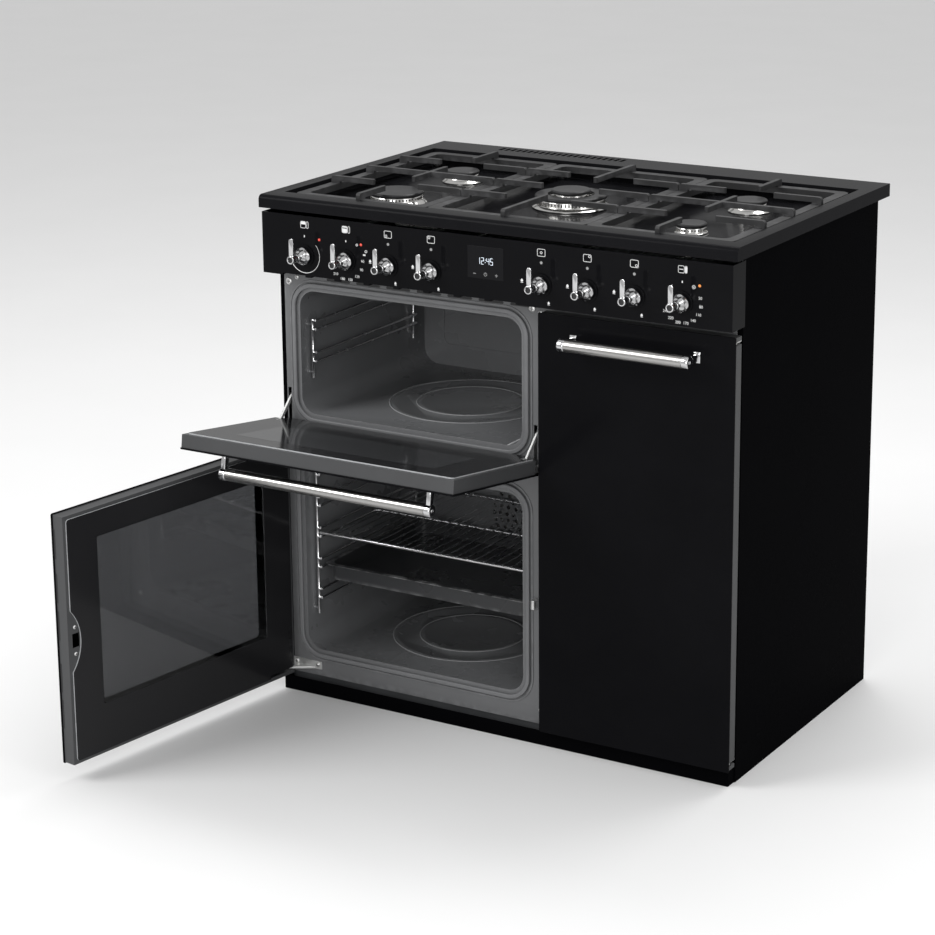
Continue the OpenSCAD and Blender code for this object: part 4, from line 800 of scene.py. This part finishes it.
lamps = {"upperOven": (-326, "redLens"), "lowerOven": (-242, "redLens"), "rightOven": (386, "orangeLens")}
for name, (x, materialName) in lamps.items():
    lens = turned([(0, 1.2), (1.2, 1.05), (2.2, 0.4), (2.4, 0), (2.4, -2), (0, -2)], 24)
    placed(lens, at(x, panel["face"], panel["lampHeight"]) @ frontward)
    finishPiece(name + "Lamp", lens, "cabinet", "control_plastic", materialName)

clock = {
    "z": 832, "keys": 810, "height": 10.6, "width": 4.4, "line": 0.8, "gap": 0.1, "glass": -310.6,
    "segments": {"1": "bc", "2": "abged", "4": "fgbc", "5": "afgcd"},
}


def digit(bm, shape, x, z):
    w, h, t = clock["width"], clock["height"], clock["line"]
    bars = {
        "a": (0, h / 2, w, t), "g": (0, 0, w, t), "d": (0, -h / 2, w, t), "f": (-w / 2, h / 4, t, h / 2),
        "b": (w / 2, h / 4, t, h / 2), "e": (-w / 2, -h / 4, t, h / 2), "c": (w / 2, -h / 4, t, h / 2),
    }
    for s in shape:
        dx, dz, across, up = bars[s]
        halfX, halfZ = across / 2 - clock["gap"], up / 2 - clock["gap"]
        flat(bm, x + dx - halfX, z + dz - halfZ, x + dx + halfX, z + dz + halfZ, clock["glass"])


digits = bmesh.new()
for shape, x in (("1", -12.8), ("2", -5.4), ("4", 4.8), ("5", 11.6)):
    digit(digits, clock["segments"][shape], x, clock["z"])
for z in (-2, 2):
    dot(digits, 0, clock["z"] + z, 0.6, clock["glass"])
finishPiece("clockDigits", digits, "cabinet", "black_glass", "litDigits")
keys = bmesh.new()
z = clock["keys"]
flat(keys, -23, z - 0.5, -18, z + 0.5, clock["glass"])
dot(keys, 0, z, 3.0, clock["glass"], inner=2.3)
flat(keys, -0.35, z, 0.35, z + 1.8, clock["glass"])
flat(keys, 18, z - 0.5, 23, z + 0.5, clock["glass"])
flat(keys, 20, z - 2.5, 21, z + 2.5, clock["glass"])
finishPiece("clockKeys", keys, "cabinet", "black_glass", "greyPrint")
print("control panel marked")


# Screws, frame vents, door slots and the beads pressed into the ovens

fixings = {
    "frame": -267,
    "frameScrews": [(-421, 744, 6.2), (-404, 753, 4.2), (62, 751, 6.2), (78, 746, 4.2), (76, 52, 4.4)],
    "vents": {"first": -342, "pitch": 60.5, "count": 7, "long": 48, "low": 752.6, "high": 758.2},
    "hingeFoot": {"across": (-424, -380, 380, 424), "face": -269, "height": 48, "radius": 4.2},
    "latch": {"across": 71, "face": -275.5, "heights": (222, 268), "radius": 3.4},
}


def makeScrew(r):  # a pan head; its cross recess is a thin dark cross laid on the head, painted shade
    bm = turned([(0, 2.1), (r * 0.4, 2.0), (r * 0.75, 1.5), (r * 0.95, 0.8), (r, 0.2), (r, 0), (0, 0)], 24)
    for turn in (0, 90):
        bar = block((-r * 0.55, -0.5, 1.9), (r * 0.55, 0.5, 2.2))
        joinInto(bm, bar, Matrix.Rotation(math.radians(turn), 4, "Z"), 1)
    return bm


screws = bmesh.new()
for x, z, r in fixings["frameScrews"]:
    joinInto(screws, makeScrew(r), at(x, fixings["frame"], z) @ frontward)
finishPiece("frameScrews", screws, "cabinet", "chrome", "satinSteel", "moulded")

vents, frameFace = fixings["vents"], fixings["frame"]
rims, ventShade = bmesh.new(), bmesh.new()
for i in range(vents["count"]):
    x0 = vents["first"] + i * vents["pitch"]
    x1 = x0 + vents["long"]
    opening = ((x0, vents["low"]), (x1, vents["high"] - 1), 3)
    joinInto(rims, plate(*spread(opening, 1), frameFace - 0.5, frameFace + 0.1, hole=opening))
    # each vent is a flat dark plate on the frame: painted shade inside the vent opening
    joinInto(ventShade, plate(*opening, frameFace - 0.2, frameFace + 0.1))
finishPiece("frameVentRims", rims, "cabinet", "grey_enamel", "frameEnamel", bevel=0.15)
finishPiece("frameVentShade", ventShade, "cabinet", "grey_enamel", "moulded")

hingeScrews, foot = bmesh.new(), fixings["hingeFoot"]
for x in foot["across"]:
    joinInto(hingeScrews, makeScrew(foot["radius"]), at(x, foot["face"], foot["height"]) @ frontward)
finishPiece("hingeScrews", hingeScrews, "cabinet", "chrome", "satinSteel", "moulded")

backward = Matrix.Rotation(math.radians(-90), 4, "X")  # turns +Z to the back, +Y
latchScrews, latch = bmesh.new(), fixings["latch"]
for z in latch["heights"]:
    joinInto(latchScrews, makeScrew(latch["radius"]), at(latch["across"], latch["face"], z) @ backward)
finishPiece("lowerDoorLatchScrews", placed(latchScrews, lowerOpen), "lower_door", "chrome", "satinSteel",
    "moulded")

doorSlots = {
    "proud": 0.25, "sunk": 0.3, "long": 50, "freeEdge": (86, (92, 155, 245, 309, 384)),
    "topEdge": (458, range(-410, 30, 66)),
}
proud, sunk, long = doorSlots["proud"], doorSlots["sunk"], doorSlots["long"]
# each slot is a dark bar laid on the door's edge: painted shade inside the slot
slotShade = bmesh.new()
x, starts = doorSlots["freeEdge"]
for z in starts:
    joinInto(slotShade, block((x - sunk, -298.4, z), (x + proud, -294.2, z + long)))
z, starts = doorSlots["topEdge"]
for x in starts:
    joinInto(slotShade, block((x, -297.6, z - sunk), (x + long, -294.6, z + proud)))
finishPiece("lowerDoorSlotShade", placed(slotShade, lowerOpen), "lower_door", "grey_enamel", "moulded")

pressed = {
    "wall": (131.2, 133.2), "line": 5, "corner": 16, "holeCorner": 12, "middle": -66, "rise": 1.8,
    "wallBeads": [((-360, 548), (3, 690)), ((-360, 100), (3, 132)), ((162, 110), (375, 210)),
        ((162, 590), (375, 690))],
    "floorRings": [(-178.5, 512, (95, 143)), (-178.5, 78, (95, 143)), (268.5, 78, (77, 109))],
}
pressings = bmesh.new()  # raised beads on the ovens' rear walls
for low, high in pressed["wallBeads"]:
    edge = (low, high, pressed["corner"])
    inside = (*spread(edge, -pressed["line"])[:2], pressed["holeCorner"])
    joinInto(pressings, plate(*edge, *pressed["wall"], hole=inside))
finishPiece("ovenWallBeads", pressings, "cabinet", "cavity_enamel", "cavityEnamel", bevel=0.9, segments=3)
beads = bmesh.new()  # the rounded crests of the rings pressed into the ovens' floors, in a paler enamel: painted highlights along the crests
for x, z, radii in pressed["floorRings"]:
    for r in radii:
        crest = turned([(r - 1.6, 0), (r - 1, 0.8), (r, 1.1), (r + 1, 0.8), (r + 1.6, 0), (r - 1.6, 0)], 96)
        joinInto(beads, crest, at(x, pressed["middle"], z + pressed["rise"]))
finishPiece("ovenFloorRings", beads, "cabinet", "cavity_enamel", "beadEnamel", angle=60)
print("fixings made")


# Floor, lights and camera

stage = {
    "floorSize": 60.0, "floorColor": (0.8, 0.8, 0.8), "worldStrength": 0.75, "background": 0.93,
    "gloss": 0.45, "mirrored": 0.6,
}


def makeStage():
    bm = bmesh.new()
    bmesh.ops.create_circle(bm, cap_ends=True, radius=stage["floorSize"] / 2, segments=96)
    mesh = bpy.data.meshes.new("floor")
    bm.to_mesh(mesh)
    bm.free()
    floor = bpy.data.objects.new("floor", mesh)
    scene.collection.objects.link(floor)
    floor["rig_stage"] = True
    material = bpy.data.materials.new("paleFloor")
    material.use_nodes = True
    tree = material.node_tree
    shader = tree.nodes["Principled BSDF"]
    shader.inputs["Roughness"].default_value = 0.75
    shader.inputs["Specular IOR Level"].default_value = 0.2
    place = addNode(tree, "TexCoord").outputs["Object"]
    cloud = addNode(tree, "TexNoise", Vector=place, Scale=3.0, Detail=5.0).outputs["Fac"]
    low, high = (tuple(c * k for c in stage["floorColor"]) + (1,) for k in (0.98, 1.02))
    mirrored = addNode(tree, "LightPath").outputs["Is Glossy Ray"]
    dim = tuple(c * stage["mirrored"] for c in stage["floorColor"]) + (1,)
    color = mixColor(tree, mirrored, mixColor(tree, cloud, low, high), dim)
    tree.links.new(color, shader.inputs["Base Color"])
    mesh.materials.append(material)
    world = bpy.data.worlds.new("studio")
    scene.world = world
    world.use_nodes = True
    tree = world.node_tree
    path = addNode(tree, "LightPath")
    plain = tree.nodes["Background"]
    plain.inputs["Color"].default_value = (1, 1, 1, 1)
    plain.inputs["Strength"].default_value = stage["worldStrength"]
    shown = addNode(tree, "Background", Color=(1, 1, 1, 1), Strength=stage["background"])
    gloss = addNode(tree, "Background", Color=(1, 1, 1, 1), Strength=stage["gloss"])
    first = addNode(tree, "MixShader", in0=path.outputs["Is Glossy Ray"], in1=plain.outputs[0],
        in2=gloss.outputs[0])
    last = addNode(tree, "MixShader", in0=path.outputs["Is Camera Ray"], in1=first.outputs[0],
        in2=shown.outputs[0])
    tree.links.new(last.outputs[0], tree.nodes["World Output"].inputs["Surface"])


def addLamp(name, place, aim, size, power):
    lamp = bpy.data.lights.new(name, "AREA")
    lamp.shape, lamp.size, lamp.size_y, lamp.energy = "RECTANGLE", size[0], size[1], power
    holder = bpy.data.objects.new(name, lamp)
    holder.location = place
    holder.rotation_euler = (Vector(aim) - Vector(place)).to_track_quat("-Z", "Y").to_euler()
    scene.collection.objects.link(holder)


makeStage()
addLamp("keySoftbox", (-2.6, -3.2, 3.4), (0, -0.2, 0.5), (2.0, 2.0), 95)
addLamp("sideSoftbox", (3.6, -1.2, 2.2), (0.2, 0, 0.5), (1.2, 2.4), 18)
addLamp("frontSoftbox", (0.9, -4.2, 1.5), (-0.2, 0, 0.4), (1.8, 1.6), 45)
addLamp("topSoftbox", (0.2, 1.4, 3.6), (0, 0, 0.9), (2.6, 1.2), 60)

shot = {
    "place": (2.1611, -3.9113, 1.7607), "heading": 31.39, "down": 14.9, "roll": -0.56, "focal": 102.11,
    "shiftY": -0.1,
}
camera = bpy.data.cameras.new("camera")
camera.lens, camera.sensor_width, camera.shift_y = shot["focal"], 36.0, shot["shiftY"]
camera.clip_start, camera.clip_end = 0.05, 100
view = bpy.data.objects.new("camera", camera)
heading = Matrix.Rotation(math.radians(shot["heading"]), 4, "Z")
tilt = Matrix.Rotation(math.radians(90 - shot["down"]), 4, "X")
roll = Matrix.Rotation(math.radians(shot["roll"]), 4, "Z")
view.matrix_world = Matrix.Translation(shot["place"]) @ heading @ tilt @ roll
scene.collection.objects.link(view)
scene.camera = view
scene.view_settings.view_transform = "Standard"
print("stage set")

low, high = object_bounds()
